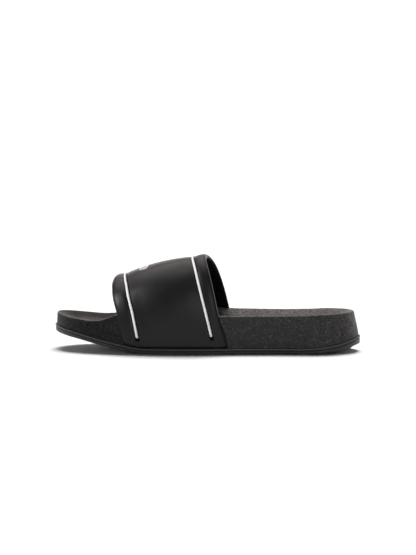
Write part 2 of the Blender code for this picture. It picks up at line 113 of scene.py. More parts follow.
BAR_CORNER = 0.35
BAR_DEPTH = 0.8 * MM
BAR_STANDS_OUT = 0.2 * MM

GAP = 0.3 * MM
TOE_POWER = 2.15
HEEL_POWER = 2.1
ARCH_POWER = 2.3
CREST_BOW = 0.41
CREST_BEND = 0.12
SHOULDER_END = 0.1
PANEL_LENGTH = STRAP_CREST_LENGTH - FRONT_BAND - REAR_BAND
BAR_SHARE = (BAR_AT - STRAP_FRONT - FRONT_BAND) / PANEL_LENGTH
GROOVE_DEPTH = 2 * PIPING_RADIUS + GAP - PIPING_STANDS_OUT

# How far inside the strap's edges the footbed starts to give way to it
SEAT_START = 1.2 * MM

# Half the length along the shoe over which each wall of a channel rises
TREAD_DRAFT = 0.04 * MM

# How far the grooves run on below the ends of their cords: at full depth, with painted shade inside, and to
# their end
GROOVE_FULL_PAST = 1.2 * MM
GROOVE_SHADE_PAST = 2 * MM
GROOVE_END_PAST = 2.2 * MM

# Least width of the front band between its roll and its groove, and the widths between which it puffs out
LEAST_BAND = 0.8 * MM
PUFFED_BAND = (1 * MM, 5 * MM)

# Fullness of the panel's crown: its power on the crest, where less is fuller, and what the sides add to it
CROWN_POWER = 0.6
SIDE_CROWN_POWER = 0.5

# Shares of the way down the strap between which its front roll widens, and its crown grows softer
ROLL_WIDENS = (0.12, 0.30)
CROWN_SOFTENS = (0.12, 0.34)

# Rows of the front roll and of the rear roll that the lining covers
LINED_ROWS = (5, 6)

# Share of the panel's length, and reach above the foot, over which its folds fade out
FOLD_FADE = 0.16
FOLD_FOOT_FADE = 12 * MM

# The bar's dish: the shares of its reach between which it rises to the strap's face. Then the gap under the
# bar, the rounding of its edge, and the points round it.
DISH_EDGE = (0.99, 1.07)
BAR_SEAT = 0.05 * MM
BAR_EDGE_ROUND = 0.35 * MM
BAR_SIDES = 96

# Seam of the lining: its radius, how far above the foot it ends, and its place round the rolled edge
SEAM_RADIUS = 0.42 * MM
SEAM_END = 6 * MM
SEAM_TURN = math.radians(-20)

# Larger wrinkles of the foam: share of their height, size of a lump and seed
WRINKLES = ((0.65, 5.2 * MM, 11), (0.35, 2.6 * MM, 12))

# Places along the shoe, as shares of its length from its middle: between the first two the heel's wear and
# painted highlight set in, and between the other two the painted shade on the foam before the strap fades out
HEEL_WEAR_AND_HIGHLIGHT = (-0.05, 0.10)
TOE_SHADE_SPAN = (-0.30, -0.18)

# Patches in the wear and painted highlight: their size and their seed
WEAR_PATCHES = (14 * MM, 21)

# Fineness of the sole: places from toe to heel, and rows of each part of the footbed
SOLE_COLUMNS = 440
BASE_ROWS = 3
WALL_ROWS = 23
RIM_ROWS = 7
SLOPE_ROWS = 18
FLOOR_ROWS = 8

# Fineness of the strap's section: points round a roll, and over a band, the panel, the bar's dish, the lining
ROLL_POINTS = 17
BAND_POINTS = 14
PANEL_POINTS = 64
BAR_POINTS = 40
LINING_POINTS = 44

# Fineness of the cords: stations along them and over one rounded end, and sides
PIPING_STATIONS = 220
TIP_STATIONS = 7
SEAM_STATIONS = 240
PIPING_SIDES = 18
SEAM_SIDES = 8
WELD = 1e-6

# Rows of the rib's upper edge, painted paler as a highlight, counted from the outsole's last row
RIB_HIGHLIGHT_ROWS = slice(-9, -4)

# Studio walls: the turn from straight before the shoe, in degrees, less than 0 on the toe's side, and the
# glow there
WALL_GLOW = (
    (-180, 1.6),
    (-140, 2.3),
    (-112, 1.0),
    (-92, 0.30),
    (-45, 0.26),
    (-25, 0.65),
    (0, 1.7),
    (28, 1.0),
    (52, 0.28),
    (92, 0.30),
    (112, 0.9),
    (140, 1.9),
    (180, 1.6),
)

# Sine of the height angle at which the walls begin to darken, at which they are dark, and their glow there
WALLS_FADE = (0.14, 0.60)
DARK_CEILING = 0.03

# Lamps as wide as the sky: height angle, turn from straight behind toward the heel, spread, and light given
# to a level floor, where 1 is as much as a surrounding of white
KEY_LIGHT = (math.radians(66), math.radians(-12), math.radians(56), 0.56)
FLOOR_LIGHT = (math.radians(57), math.radians(-1), math.radians(37), 1.18)

# Softboxes: place, size, and power in watts. Both face the middle of the shoe.
LEFT_SOFTBOX = ((-1.37, -0.50, 1.30), (0.22, 0.60), 25)
RIGHT_SOFTBOX = ((0.60, -1.34, 1.00), (0.60, 0.50), 4.4)
SOFTBOX_TARGET = (0, 0, 0.04)

# Tint of the key light and of the walls behind the shoe, and of the walls before it
WARM = (1.0, 0.93, 0.90)
COOL = (0.96, 0.98, 1.0)

# Half the side of the floor, in metres
FLOOR_REACH = 60

# Photo frame: the image's size, the pixel of the shoe's middle at floor height, and the real size of a pixel
IMAGE_WIDTH = 416
IMAGE_HEIGHT = 555
MIDDLE_COLUMN = 207.1
FLOOR_ROW = 349.4
PIXEL = 0.9125 * MM


def named_columns(names, *rows):
    """A table with a name for each column, and one row for each section."""
    return {name: np.array(values) for name, values in zip(names.split(), zip(*rows))}


# Half widths as shares of the ball width, at shares of the length from the toe
OUTLINE = named_columns(
    "at lateral medial",
    (0.00, 0.330, 0.460),
    (0.12, 0.415, 0.475),
    (0.24, 0.475, 0.495),
    (0.36, 0.505, 0.475),
    (0.48, 0.485, 0.425),
    (0.60, 0.430, 0.375),
    (0.70, 0.390, 0.350),
    (0.82, 0.368, 0.350),
    (1.00, 0.350, 0.350),
)

# Height of the underside, as shares of the toe spring and of the heel lift
UNDERSIDE = named_columns(
    "at toe heel",
    (0.000, 1.00, 0.00),
    (0.050, 0.85, 0.00),
    (0.100, 0.71, 0.00),
    (0.140, 0.56, 0.00),
    (0.180, 0.41, 0.00),
    (0.220, 0.26, 0.00),
    (0.270, 0.095, 0.00),
    (0.315, 0.00, 0.00),
    (0.857, 0.00, 0.00),
    (0.910, 0.00, 0.20),
    (0.953, 0.00, 0.33),
    (0.970, 0.00, 0.53),
    (0.983, 0.00, 0.84),
    (1.000, 0.00, 1.00),
)

# How far the ledge climbs at the toe's tip and at the heel, as shares of its rise
LEDGE = named_columns(
    "at rise",
    (0.000, 0.12),
    (0.060, 0.07),
    (0.150, 0.00),
    (0.820, 0.00),
    (0.857, 0.05),
    (0.914, 0.24),
    (0.945, 0.43),
    (0.985, 0.82),
    (1.000, 1.00),
)

# Rim and footbed above the ledge as shares of the wall height, and the wall's lean as a share of its own
SIDE = named_columns(
    "at rim foot lean",
    (0.00, 0.378, 0.220, 0.15),
    (0.06, 0.400, 0.277, 0.55),
    (0.11, 0.452, 0.340, 1.00),
    (0.16, 0.560, 0.405, 1.00),
    (0.182, 0.660, 0.432, 1.00),
    (0.203, 0.785, 0.462, 1.00),
    (0.22, 0.870, 0.500, 1.00),
    (0.27, 1.000, 0.600, 1.00),
    (0.32, 1.037, 0.645, 1.00),
    (0.42, 1.037, 0.665, 1.00),
    (0.59, 0.990, 0.720, 1.00),
    (0.72, 0.990, 0.737, 1.00),
    (0.86, 1.010, 0.745, 1.20),
    (0.93, 0.940, 0.690, 1.45),
    (1.00, 0.745, 0.510, 1.90),
)

# Outer wall of the footbed: share of the way up, share of the lean
WALL = named_columns(
    "up lean",
    (0.00, 0.00),
    (0.30, 0.26),
    (0.60, 0.56),
    (0.85, 0.84),
    (1.00, 1.00),
)

# Slope from the rim into the cup: share of its reach, share of its drop
CUP = named_columns(
    "reach drop",
    (0.00, 0.00),
    (0.12, 0.06),
    (0.30, 0.26),
    (0.50, 0.54),
    (0.75, 0.86),
    (1.00, 1.00),
)

# Front edge of the strap: share of the way down from the crest, share of its lean
FRONT_EDGE = named_columns(
    "down lean",
    (0.00, -0.13),
    (0.08, -0.165),
    (0.25, -0.195),
    (0.34, -0.135),
    (0.42, -0.07),
    (0.50, 0.02),
    (0.58, 0.155),
    (0.71, 0.43),
    (0.90, 0.80),
    (1.00, 1.00),
)

# How far the rear edge swings back on the lateral side: share of the way down, share of its swing
REAR_SWING = named_columns(
    "down swing",
    (0.00, 0.00),
    (0.05, -0.10),
    (0.15, -0.60),
    (0.30, -0.92),
    (0.55, -0.92),
    (0.72, -0.78),
    (0.80, -0.60),
    (0.87, -0.10),
    (0.92, 0.55),
    (1.00, 1.10),
)

# Soft folds pressed into the strap's panel: start and end of each line as (share of the panel's length,
# across from -1 at the lateral foot to 1 at the medial one), its half width and its height, below 0 for a
# trough
PANEL_FOLDS = named_columns(
    "along_1 across_1 along_2 across_2 half_width height",
    (0.95, -0.24, 0.10, -0.60, 12.0 * MM, -0.30 * MM),
    (0.90, -0.50, 0.35, -0.88, 12.0 * MM, 0.15 * MM),
    (0.90, 0.22, 0.12, 0.60, 10.0 * MM, -0.30 * MM),
    (0.25, 0.80, 0.80, 0.72, 8.0 * MM, -0.15 * MM),
)

# Section of a cord's groove: place from its middle as a share of its half width, and share of its depth
GROOVE = named_columns(
    "at sink",
    (-1.12, 0.00),
    (-1.03, 0.03),
    (-1.00, 0.15),
    (-0.98, 0.90),
    (-0.80, 1.00),
    (0.00, 1.00),
    (0.80, 1.00),
    (0.98, 0.90),
    (1.00, 0.15),
    (1.03, 0.03),
    (1.12, 0.00),
)


def smooth_at(table, column, where):
    """The column's value at places of the table's first column, on a smooth curve that overshoots no row."""
    xs = next(iter(table.values()))
    ys = table[column]
    where = np.clip(where, xs[0], xs[-1])
    slopes = np.diff(ys) / np.diff(xs)
    before, after = slopes[:-1], slopes[1:]
    same_way = before * after > 0
    middle = np.where(same_way, 2 * before * after / np.where(same_way, before + after, 1), 0)
    tangents = np.concatenate([slopes[:1], middle, slopes[-1:]])
    row = np.clip(np.searchsorted(xs, where, side="right") - 1, 0, len(xs) - 2)
    step = xs[row + 1] - xs[row]
    t = (where - xs[row]) / step
    return (
        (2 * t**3 - 3 * t**2 + 1) * ys[row]
        + (t**3 - 2 * t**2 + t) * step * tangents[row]
        + (3 * t**2 - 2 * t**3) * ys[row + 1]
        + (t**3 - t**2) * step * tangents[row + 1]
    )


def smooth_step(low, high, value):
    """0 below low, 1 above high, and a smooth S between."""
    t = np.clip((value - low) / (high - low), 0, 1)
    return t * t * (3 - 2 * t)


def lumps(points, size, seed):
    """Smooth noise from -1 to 1 with lumps of about that size: random values on a cubic lattice, blended
    between its corners with an S curve."""
    count = 32
    values = np.random.default_rng(seed).uniform(-1, 1, (count, count, count))
    place = points / size
    cell = np.floor(place).astype(int)
    t = smooth_step(0, 1, place - cell)
    total = 0
    for corner in np.ndindex(2, 2, 2):
        weight = np.prod(np.where(np.array(corner) == 1, t, 1 - t), axis=-1)
        index = (cell + np.array(corner)) % count
        total = total + weight * values[index[..., 0], index[..., 1], index[..., 2]]
    return total


# Sole forms


def sole_share(x):
    return x / SHOE_LENGTH + 0.5


def end_rounding(distance, reach, power):
    """1 along the body of the shoe, falling to 0 at its end as a superellipse's quarter."""
    inside = np.clip(1 - distance / reach, 0, 1)
    return (1 - inside**power) ** (1 / power)


def half_widths(x):
    """(lateral, medial) distance of the outline from the shoe's axis, at places along X."""
    lateral = BALL_WIDTH * smooth_at(OUTLINE, "lateral", sole_share(x))
    medial = BALL_WIDTH * smooth_at(OUTLINE, "medial", sole_share(x))
    rounding = end_rounding(SHOE_LENGTH / 2 + x, TOE_ROUND, TOE_POWER)
    rounding = rounding * end_rounding(SHOE_LENGTH / 2 - x, HEEL_ROUND, HEEL_POWER)
    middle = (medial - lateral) / 2
    half = (medial + lateral) / 2 * rounding
    return half - middle, half + middle


# The shift from the shoe's axis to the middle of its box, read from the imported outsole
WIDEST_LATERAL = half_widths(np.linspace(-SHOE_LENGTH / 2, SHOE_LENGTH / 2, 2001))[0].max()
FRAME_SHIFT = (0.0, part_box("outsole")[0].y + WIDEST_LATERAL, 0.0)


def underside(x, _y=0):
    toe = TOE_SPRING * smooth_at(UNDERSIDE, "toe", sole_share(x))
    return toe + HEEL_LIFT * smooth_at(UNDERSIDE, "heel", sole_share(x))


def ledge(x, _y=0):
    toe = TOE_SPRING * smooth_at(UNDERSIDE, "toe", sole_share(x))
    rise = LEDGE_RISE * smooth_at(LEDGE, "rise", sole_share(x))
    return toe + BAND_HEIGHT + rise


def wing_share(x, y):
    """Where the side table is read: the medial side's wings rise further back than the lateral side's."""
    medial = smooth_step(-0.1 * BALL_WIDTH, 0.1 * BALL_WIDTH, y)
    forward = smooth_step(0, 0.2, 0.5 - sole_share(x))
    return sole_share(x - MEDIAL_WING_BACK * medial * forward)


def rim(x, y):
    return ledge(x) + WALL_HEIGHT * smooth_at(SIDE, "rim", wing_share(x, y))


def foot_level(x, y):
    return ledge(x) + WALL_HEIGHT * smooth_at(SIDE, "foot", wing_share(x, y))


class SoleLoop:
    """Points once round the sole's outline, closer together at toe and heel, with extra pairs where asked."""

    def __init__(self, extra=()):
        angle = np.linspace(0, math.pi, SOLE_COLUMNS + 1)
        x = np.unique(np.concatenate([-SHOE_LENGTH / 2 * np.cos(angle), np.array(extra, float)]))
        x[0], x[-1] = -SHOE_LENGTH / 2, SHOE_LENGTH / 2
        lateral, medial = half_widths(x)
        there = np.stack([x, medial], axis=1)
        back = np.stack([x, -lateral], axis=1)[-2:0:-1]
        self.points = np.concatenate([there, back])
        along = np.roll(self.points, -1, axis=0) - np.roll(self.points, 1, axis=0)
        outward = np.stack([-along[:, 1], along[:, 0]], axis=1)
        self.outward = outward / np.linalg.norm(outward, axis=1)[:, None]
        spine_x = np.clip(self.points[:, 0], -SHOE_LENGTH / 2 + TOE_ROUND, SHOE_LENGTH / 2 - HEEL_ROUND)
        lateral, medial = half_widths(spine_x)
        self.spine = np.column_stack([spine_x, (medial - lateral) / 2])

    def inset(self, distance, height, lift=0.0):
        """The outline moved inwards, at the height that the function gives for each point, plus the lift."""
        moved = self.points - self.outward * np.reshape(distance, (-1, 1))
        return np.column_stack([moved, height(moved[:, 0], moved[:, 1]) + lift])

    def to_spine(self, ring, share, height):
        """The ring drawn in toward the line along the shoe's middle."""
        moved = ring[:, :2] + (self.spine - ring[:, :2]) * share
        return np.column_stack([moved, height(moved[:, 0], moved[:, 1])])


# Strap forms


def from_crest(down):
    """The share of the way down the strap, rounded off where the strap crosses its crest."""
    return (np.hypot(down, CREST_BEND) - CREST_BEND) / (math.hypot(1, CREST_BEND) - CREST_BEND)


def rear_swing(across):
    """How far the rear edge swings from its even line on the lateral side."""
    swing = LATERAL_SWING * smooth_at(REAR_SWING, "swing", np.abs(across))
    return np.where(np.less(across, 0), swing, 0)


def strap_edges(across):
    """X of the strap's front and rear edge, from -1 at the lateral foot over 0 on the crest to 1."""
    down = np.abs(across)
    front = STRAP_FRONT - SHOE_LENGTH / 2
    rear = front + STRAP_CREST_LENGTH + REAR_LEAN * from_crest(down) + rear_swing(across)
    return front + FRONT_LEAN * smooth_at(FRONT_EDGE, "lean", down), rear


def strap_span(across):
    front, rear = strap_edges(across)
    return rear - front


def arch_sizes(along):
    """(crest's Y, lateral reach, medial reach, foot's Z, crest's Z) of the strap's section."""
    foot_front, foot_rear = strap_edges(np.ones_like(along))
    foot_x = foot_front + along * (foot_rear - foot_front)
    lateral, medial = half_widths(foot_x)
    side = STRAP_PROUD - LIP
    crest_y = (medial - lateral) / 2 + INSTEP_SHIFT
    crest_z = FRONT_CREST + (REAR_CREST - FRONT_CREST) * along * (1 + CREST_BOW * (1 - along))
    crest_z = crest_z + FRONT_SHOULDER * np.clip(1 - along / SHOULDER_END, 0, 1) ** 1.5
    foot_z = ledge(foot_x) + STRAP_OVER_LEDGE
    return crest_y, lateral + side + crest_y, medial + side - crest_y, foot_z, crest_z


def strap_skin(along, across):
    """A point of the strap's face: along is 0 at the front edge and 1 at the rear, across is -1 at the
    lateral foot, 0 on the crest and 1 at the medial foot. Each section is a superellipse's upper half, on the
    sole's own width."""
    down = np.abs(across)
    front, rear = strap_edges(across)
    crest_y, lateral, medial, foot_z, crest_z = arch_sizes(along)
    turn = down * math.pi / 2
    reach = np.where(across < 0, lateral, medial)
    y = crest_y + np.sign(across) * reach * np.sin(turn) ** (2 / ARCH_POWER)
    z = foot_z + (crest_z - foot_z) * np.clip(np.cos(turn), 0, 1) ** (2 / ARCH_POWER)
    return np.stack([front + along * (rear - front), y, z], axis=-1)


def strap_frame(along, across):
    """(point, outward, backward) on the strap's face."""
    step = 1e-3
    inner = np.clip(across, -1 + step, 1 - step)
    backward = strap_skin(along + step, inner) - strap_skin(along - step, inner)
    sideways = strap_skin(along, inner + step) - strap_skin(along, inner - step)
    outward = np.cross(backward, sideways)
    outward /= np.linalg.norm(outward, axis=-1, keepdims=True)
    backward /= np.linalg.norm(backward, axis=-1, keepdims=True)
    return strap_skin(along, across), outward, backward


def arch_half_length():
    """Length of the strap's face from crest to foot, halfway along it."""
    across = np.linspace(0, 1, 60)
    line = strap_skin(np.full_like(across, 0.5), across)
    return float(np.linalg.norm(np.diff(line, axis=0), axis=1).sum())


def piping_lines(across):
    """Distance of the front piping from the front edge, and of the rear piping from the rear edge."""
    down = from_crest(np.abs(across))
    front = FRONT_BAND + FRONT_BAND_SPREAD * (1 - (1 - down) ** 4)
    rear = REAR_BAND + REAR_BAND_SPREAD * np.sin(down * math.pi) - REAR_BAND_TAPER * down
    return front, rear + rear_swing(across)


def seat_limit(points):
    """How far from the crest's Y a point of the footbed may lie, so that it keeps the gap to the strap's
    lining; infinite where the strap isn't beside it."""
    along = np.full(len(points), 0.5)
    for _ in range(4):
        crest_y, _, _, foot_z, crest_z = arch_sizes(along)
        up = np.clip((points[:, 2] - foot_z) / (crest_z - foot_z), 0, 1)
        down = np.arccos(up ** (ARCH_POWER / 2)) / (math.pi / 2)
        front, rear = strap_edges(np.where(points[:, 1] < crest_y, -down, down))
        along = np.clip((points[:, 0] - front) / (rear - front), 0, 1)
    crest_y, lateral, medial, foot_z, crest_z = arch_sizes(along)
    reach = np.where(points[:, 1] < crest_y, lateral, medial)
    skin = reach * (1 - up**ARCH_POWER) ** (1 / ARCH_POWER)
    beside = (points[:, 0] > front + SEAT_START) & (points[:, 0] < rear - SEAT_START)
    return crest_y, np.where(beside, skin - STRAP_WALL * 1.02 - GAP, np.inf)


# Mesh and material helpers


def add_object(name, data):
    """A new object of the scene that holds the data."""
    thing = bpy.data.objects.new(name, data)
    bpy.context.scene.collection.objects.link(thing)
    return thing


def object_from_rows(name, rows, materials, caps=False, finish=None, worn=None):
    """One closed skin over a grid whose rows run round. Its place is in its mesh, its faces point outwards,
    finish gives the material of the face that starts at each point, and the attribute of wear and painted
    light says how much paler, by wear or painted highlight, or darker, by painted shade, each point is
    painted."""
    rows = np.asarray(rows, float)
    count, around = rows.shape[:2]
    index = np.arange(count * around).reshape(count, around)
    right = np.roll(index, -1, axis=1)
    faces = np.stack([index[:-1], right[:-1], right[1:], index[1:]], axis=-1).reshape(-1, 4)
    points = rows.reshape(-1, 3) + np.array(FRAME_SHIFT)
    faces = faces.tolist()
    if caps:
        faces += [index[0].tolist(), index[-1].tolist()]
    mesh = bpy.data.meshes.new(name)
    mesh.from_pydata(points.tolist(), [], faces)
    for material in materials:
        mesh.materials.append(material)
    if finish is not None:
        slots = np.concatenate([finish[:-1].ravel(), np.zeros(2 if caps else 0, int)])
        mesh.polygons.foreach_set("material_index", slots.astype(np.int32))
    if worn is not None:
        attribute = mesh.attributes.new("worn", "FLOAT", "POINT")
        attribute.data.foreach_set("value", worn.ravel().astype(np.float32))
    build = bmesh.new()
    build.from_mesh(mesh)
    bmesh.ops.remove_doubles(build, verts=build.verts, dist=WELD)
    bmesh.ops.dissolve_degenerate(build, edges=build.edges, dist=WELD)
    bmesh.ops.recalc_face_normals(build, faces=build.faces)
    if build.calc_volume(signed=True) < 0:
        bmesh.ops.reverse_faces(build, faces=build.faces)
    build.to_mesh(mesh)
    build.free()
    mesh.shade_smooth()
    return add_object(name, mesh)


def fit_to_frame(piece, slot, *nodes):
    """Ties a finished piece to the body and hides the solids that it stands for. The slot is not used."""
    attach(piece, "root")
    if nodes:
        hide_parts(*nodes)


def add_node(tree, kind, inputs, **choices):
    """A shader node with its choices made, and each input set to a value or linked to another's output."""
    node = tree.nodes.new("ShaderNode" + kind)
    for name, choice in choices.items():
        setattr(node, name, choice)
    for name, value in inputs.items():
        if isinstance(value, bpy.types.NodeSocket):
            tree.links.new(value, node.inputs[name])
        else:
            node.inputs[name].default_value = value
    return node


class Finish:
    """A material in the making, with its Principled BSDF and the nodes that it is given."""

    def __init__(self, name, colour, roughness, specular):
        self.material = bpy.data.materials.new(name)
        self.material.use_nodes = True
        self.tree = self.material.node_tree
        self.shader = self.tree.nodes["Principled BSDF"]
        self.shader.inputs["Base Color"].default_value = (*colour, 1)
        self.shader.inputs["Roughness"].default_value = roughness
        self.shader.inputs["Specular IOR Level"].default_value = specular
        self.place = self.add("TexCoord", "Object", {})
        self.normal = None

    def add(self, kind, output, inputs, **choices):
        return add_node(self.tree, kind, inputs, **choices).outputs[output]

    def drive(self, name, value):
        """Links another node's output to one of the shader's inputs."""
        self.tree.links.new(value, self.shader.inputs[name])

    def noise(self, scale, detail=4, roughness=0.55, distortion=0.0):
        inputs = {"Scale": scale, "Detail": detail, "Roughness": roughness, "Distortion": distortion}
        return self.add("TexNoise", "Fac", {"Vector": self.place, **inputs})

    def cells(self, scale):
        """How far each place is from the middle of its pebble."""
        return self.add("TexVoronoi", "Distance", {"Vector": self.place, "Scale": scale})

    def away_from(self, value, middle):
        """How far the value is from the middle one, either way."""
        below = self.add("Math", "Value", {0: value, 1: middle}, operation="SUBTRACT")
        return self.add("Math", "Value", {0: below}, operation="ABSOLUTE")

    def weave(self, scale):
        """Two sets of fine bands at right angles, as woven threads."""
        inputs = {"Vector": self.place, "Scale": scale, "Distortion": 0.6, "Detail": 1}
        bands = {
            index: self.add("TexWave", "Fac", inputs, wave_type="BANDS", bands_direction=direction)
            for index, direction in enumerate("XZ")
        }
        return self.add("Math", "Value", bands, operation="MULTIPLY")

    def between(self, value, low, high, out_low=0.0, out_high=1.0):
        """The value's range from low to high spread over another, smoothly."""
        inputs = {"Value": value, "From Min": low, "From Max": high, "To Min": out_low, "To Max": out_high}
        return self.add("MapRange", "Result", inputs, interpolation_type="SMOOTHSTEP")

    def attribute(self, name):
        """A number that the mesh holds for each of its points."""
        return self.add("Attribute", "Fac", {}, attribute_name=name)

    def mixed(self, factor, low, high):
        """A colour between two others by a factor. Each is a colour, or what another node gives."""
        inputs = {"Factor": factor}
        for name, end in (("A", low), ("B", high)):
            inputs[name] = end if isinstance(end, bpy.types.NodeSocket) else (*end, 1)
        return self.add("Mix", "Result", inputs, data_type="RGBA")

    def bump(self, height, distance, strength):
        """Adds fine relief to the surface, on top of what it already has."""
        inputs = {"Height": height, "Distance": distance, "Strength": strength}
        if self.normal is not None:
            inputs["Normal"] = self.normal
        self.normal = self.add("Bump", "Normal", inputs)
        self.drive("Normal", self.normal)

    def shades(self, factor, low, high):
        """Colours the surface between two colours by a factor."""
        self.drive("Base Color", self.mixed(factor, low, high))

    def gloss(self, factor, low, high):
        """Makes the surface rougher or smoother by a factor."""
        self.drive("Roughness", self.between(factor, 0.0, 1.0, low, high))

    def sheen(self, weight, roughness, tint):
        self.shader.inputs["Sheen Weight"].default_value = weight
        self.shader.inputs["Sheen Roughness"].default_value = roughness
        self.shader.inputs["Sheen Tint"].default_value = (*tint, 1)


def scaled(colour, share):
    return tuple(min(channel * share, 1) for channel in colour)


def foam_finish(colour):
    """Charcoal moulded foam: thin winding ridges over a fine grain, painted paler as highlights where they
    would catch the light. The piece's attribute of wear and painted light is 1 where the foam is paler all
    over, partly dust and wear and partly a painted highlight, and -1 where a painted shade darkens it and
    makes it less glossy."""
    finish = Finish("foam_grain", colour, roughness=0.5, specular=0.30)
    worn = finish.attribute("worn")
    winding = finish.noise(400, detail=1, roughness=0.5, distortion=1.3)
    ridges = finish.between(finish.away_from(winding, 0.5), 0.0, 0.072, 1.0, 0.0)
    finish.bump(ridges, distance=0.30 * MM, strength=0.8)
    finish.bump(finish.noise(1100, detail=3, roughness=0.6), distance=0.16 * MM, strength=0.9)
    mottled = finish.between(finish.noise(430, roughness=0.6), 0.34, 0.66)
    # Paler foam: partly dust and wear, partly a painted highlight on the rim and the heel's slope
    dust_and_painted_highlight = finish.mixed(mottled, scaled(colour, 4.0), scaled(colour, 16.0))
    # Ridges painted paler, as highlights where they would catch the light
    ridge_highlights = finish.mixed(ridges, scaled(colour, 0.70), scaled(colour, 5.4))
    # A darker copy with weaker ridge highlights: painted shade for the toe's cup
    shaded_ridge_highlights = finish.mixed(ridges, scaled(colour, 0.70), scaled(colour, 2.6))
    ridges_with_painted_shade = finish.mixed(finish.between(worn, -1, 0), shaded_ridge_highlights, ridge_highlights)
    finish.shades(finish.between(worn, 0, 1), ridges_with_painted_shade, dust_and_painted_highlight)
    finish.drive("Specular IOR Level", finish.between(worn, -1, 1, 0.10, 0.50))
    finish.gloss(finish.noise(90, detail=3), 0.44, 0.58)
    finish.sheen(weight=0.05, roughness=0.35, tint=(1.0, 0.92, 0.88))
    return finish.material


def sole_finish(colour):
    """Smooth charcoal sole rubber with a faint mould texture and rubbed patches."""
    finish = Finish("sole_rubber", colour, roughness=0.5, specular=0.36)
    finish.bump(finish.noise(1500, detail=3, roughness=0.6), distance=0.05 * MM, strength=0.6)
    finish.shades(finish.noise(60), scaled(colour, 0.85), scaled(colour, 1.15))
    finish.gloss(finish.noise(120, detail=3), 0.42, 0.58)
    finish.sheen(weight=0.05, roughness=0.35, tint=(1.0, 0.93, 0.88))
    return finish.material


def rib_highlight_finish(colour):
    """The sole's rib edge, painted paler as a highlight, and smoother."""
    finish = Finish("painted_rib_highlight", scaled(colour, 2.6), roughness=0.38, specular=0.4)
    finish.shades(finish.noise(260), scaled(colour, 1.9), scaled(colour, 3.6))
    finish.bump(finish.noise(1200, detail=3), distance=0.05 * MM, strength=0.6)
    return finish.material


def strap_finish(colour):
    """Soft charcoal synthetic leather: fine pebbled grain, slight gloss, with faint paler wear."""
    finish = Finish("strap_leather", colour, roughness=0.45, specular=0.18)
    finish.bump(finish.noise(260, roughness=0.5, distortion=0.4), distance=0.12 * MM, strength=0.35)
    finish.bump(finish.cells(1150), distance=0.05 * MM, strength=0.5)
    wear = finish.between(finish.noise(34, detail=5, roughness=0.6), 0.35, 0.65)
    finish.shades(wear, scaled(colour, 0.9), scaled(colour, 1.12))
    finish.gloss(finish.noise(150), 0.33, 0.42)
    finish.sheen(weight=0.04, roughness=0.3, tint=(1.0, 0.93, 0.9))
    return finish.material


def lining_finish(colour):
    """Deep black woven lining."""
    finish = Finish("lining_textile", colour, roughness=0.95, specular=0.15)
    finish.bump(finish.weave(900), distance=0.15 * MM, strength=0.8)
    finish.shades(finish.noise(700, detail=2), scaled(colour, 0.7), scaled(colour, 1.4))
    return finish.material


def groove_painted_shade_finish(colour):
    """Painted shade for the grooves that hold the piping: the strap's colour, darkened."""
    finish = Finish("painted_groove_shade", colour, roughness=0.85, specular=0.15)
    finish.bump(finish.noise(1800, detail=2), distance=0.05 * MM, strength=0.5)
    return finish.material


def pale_finish(name, colour, roughness):
    """Off-white moulded trim with a faint grain and a slightly uneven, greyer tone."""
    finish = Finish(name, colour, roughness, specular=0.4)
    finish.bump(finish.noise(2200, detail=3), distance=0.03 * MM, strength=0.5)
    finish.shades(finish.noise(220, detail=3), scaled(colour, 0.93), scaled(colour, 1.03))
    return finish.material


def seam_finish(colour):
    """Light brown binding edge between skin and lining, lightly ribbed."""
    finish = Finish("seam_binding", colour, roughness=0.75, specular=0.25)
    finish.bump(finish.noise(1600, detail=3), distance=0.08 * MM, strength=0.8)
    finish.shades(finish.noise(900, detail=2), scaled(colour, 0.8), scaled(colour, 1.2))
    return finish.material


# Settings


def length_setting(name, description, default):
    kind = {"subtype": "DISTANCE", "unit": "LENGTH"}
    return FloatProperty(name=name, description=description, default=default, **kind)


def angle_setting(name, description, default):
    kind = {"subtype": "ANGLE", "unit": "ROTATION"}
    return FloatProperty(name=name, description=description, default=default, **kind)


def colour_setting(name, description, default):
    kind = {"subtype": "COLOR", "size": 3}
    return FloatVectorProperty(name=name, description=description, default=default, **kind)


class SLIDE_PG_settings(bpy.types.PropertyGroup):
    """Sizes and colours that a user would change."""

    fold_depth: FloatProperty(
        name="Fold Depth", description="Strength of the strap panel's soft folds", default=1.0, min=0, max=2
    )
    grain_relief: length_setting("Grain Relief", "Height of the foam's larger wrinkles", 0.10 * MM)
    band_bulge: length_setting("Band Bulge", "How far the strap's edge bands puff out", 0.45 * MM)
    side_roll: length_setting("Side Roll", "Reach of the strap's front roll down its sides", 10 * MM)
    strap_stations: IntProperty(
        name="Strap Stations", description="Sections along the strap from foot to foot", default=300, min=40
    )
    strap_colour: colour_setting("Strap", "Synthetic leather of the strap", (0.0072, 0.0073, 0.0080))
    foam_colour: colour_setting("Footbed", "Moulded foam of the footbed", (0.0135, 0.0128, 0.0126))
    sole_colour: colour_setting("Outsole", "Rubber of the outsole", (0.0225, 0.0220, 0.0217))
    lining_colour: colour_setting("Lining", "Woven lining of the strap", (0.0012, 0.0012, 0.0012))
    trim_colour: colour_setting("Trim", "Piping and crest bar", (0.75, 0.76, 0.78))
    seam_colour: colour_setting("Seam", "Binding edge of the lining", (0.060, 0.042, 0.030))
    camera_azimuth: angle_setting(
        "Azimuth", "Camera's turn from the lateral side toward the heel", math.radians(6.0)
    )
    camera_elevation: angle_setting("Elevation", "Camera's height angle over the floor", math.radians(5.3))
    camera_distance: length_setting("Distance", "Camera's distance from the shoe", 6.0)


# Outsole


def tread_channels():
    """X of the middle of each cross channel under the ball and the heel."""
    return [
        first + number * TREAD_PITCH - SHOE_LENGTH / 2
        for first, last in TREADS
        for number in range(int((last - first) / TREAD_PITCH) + 1)
    ]


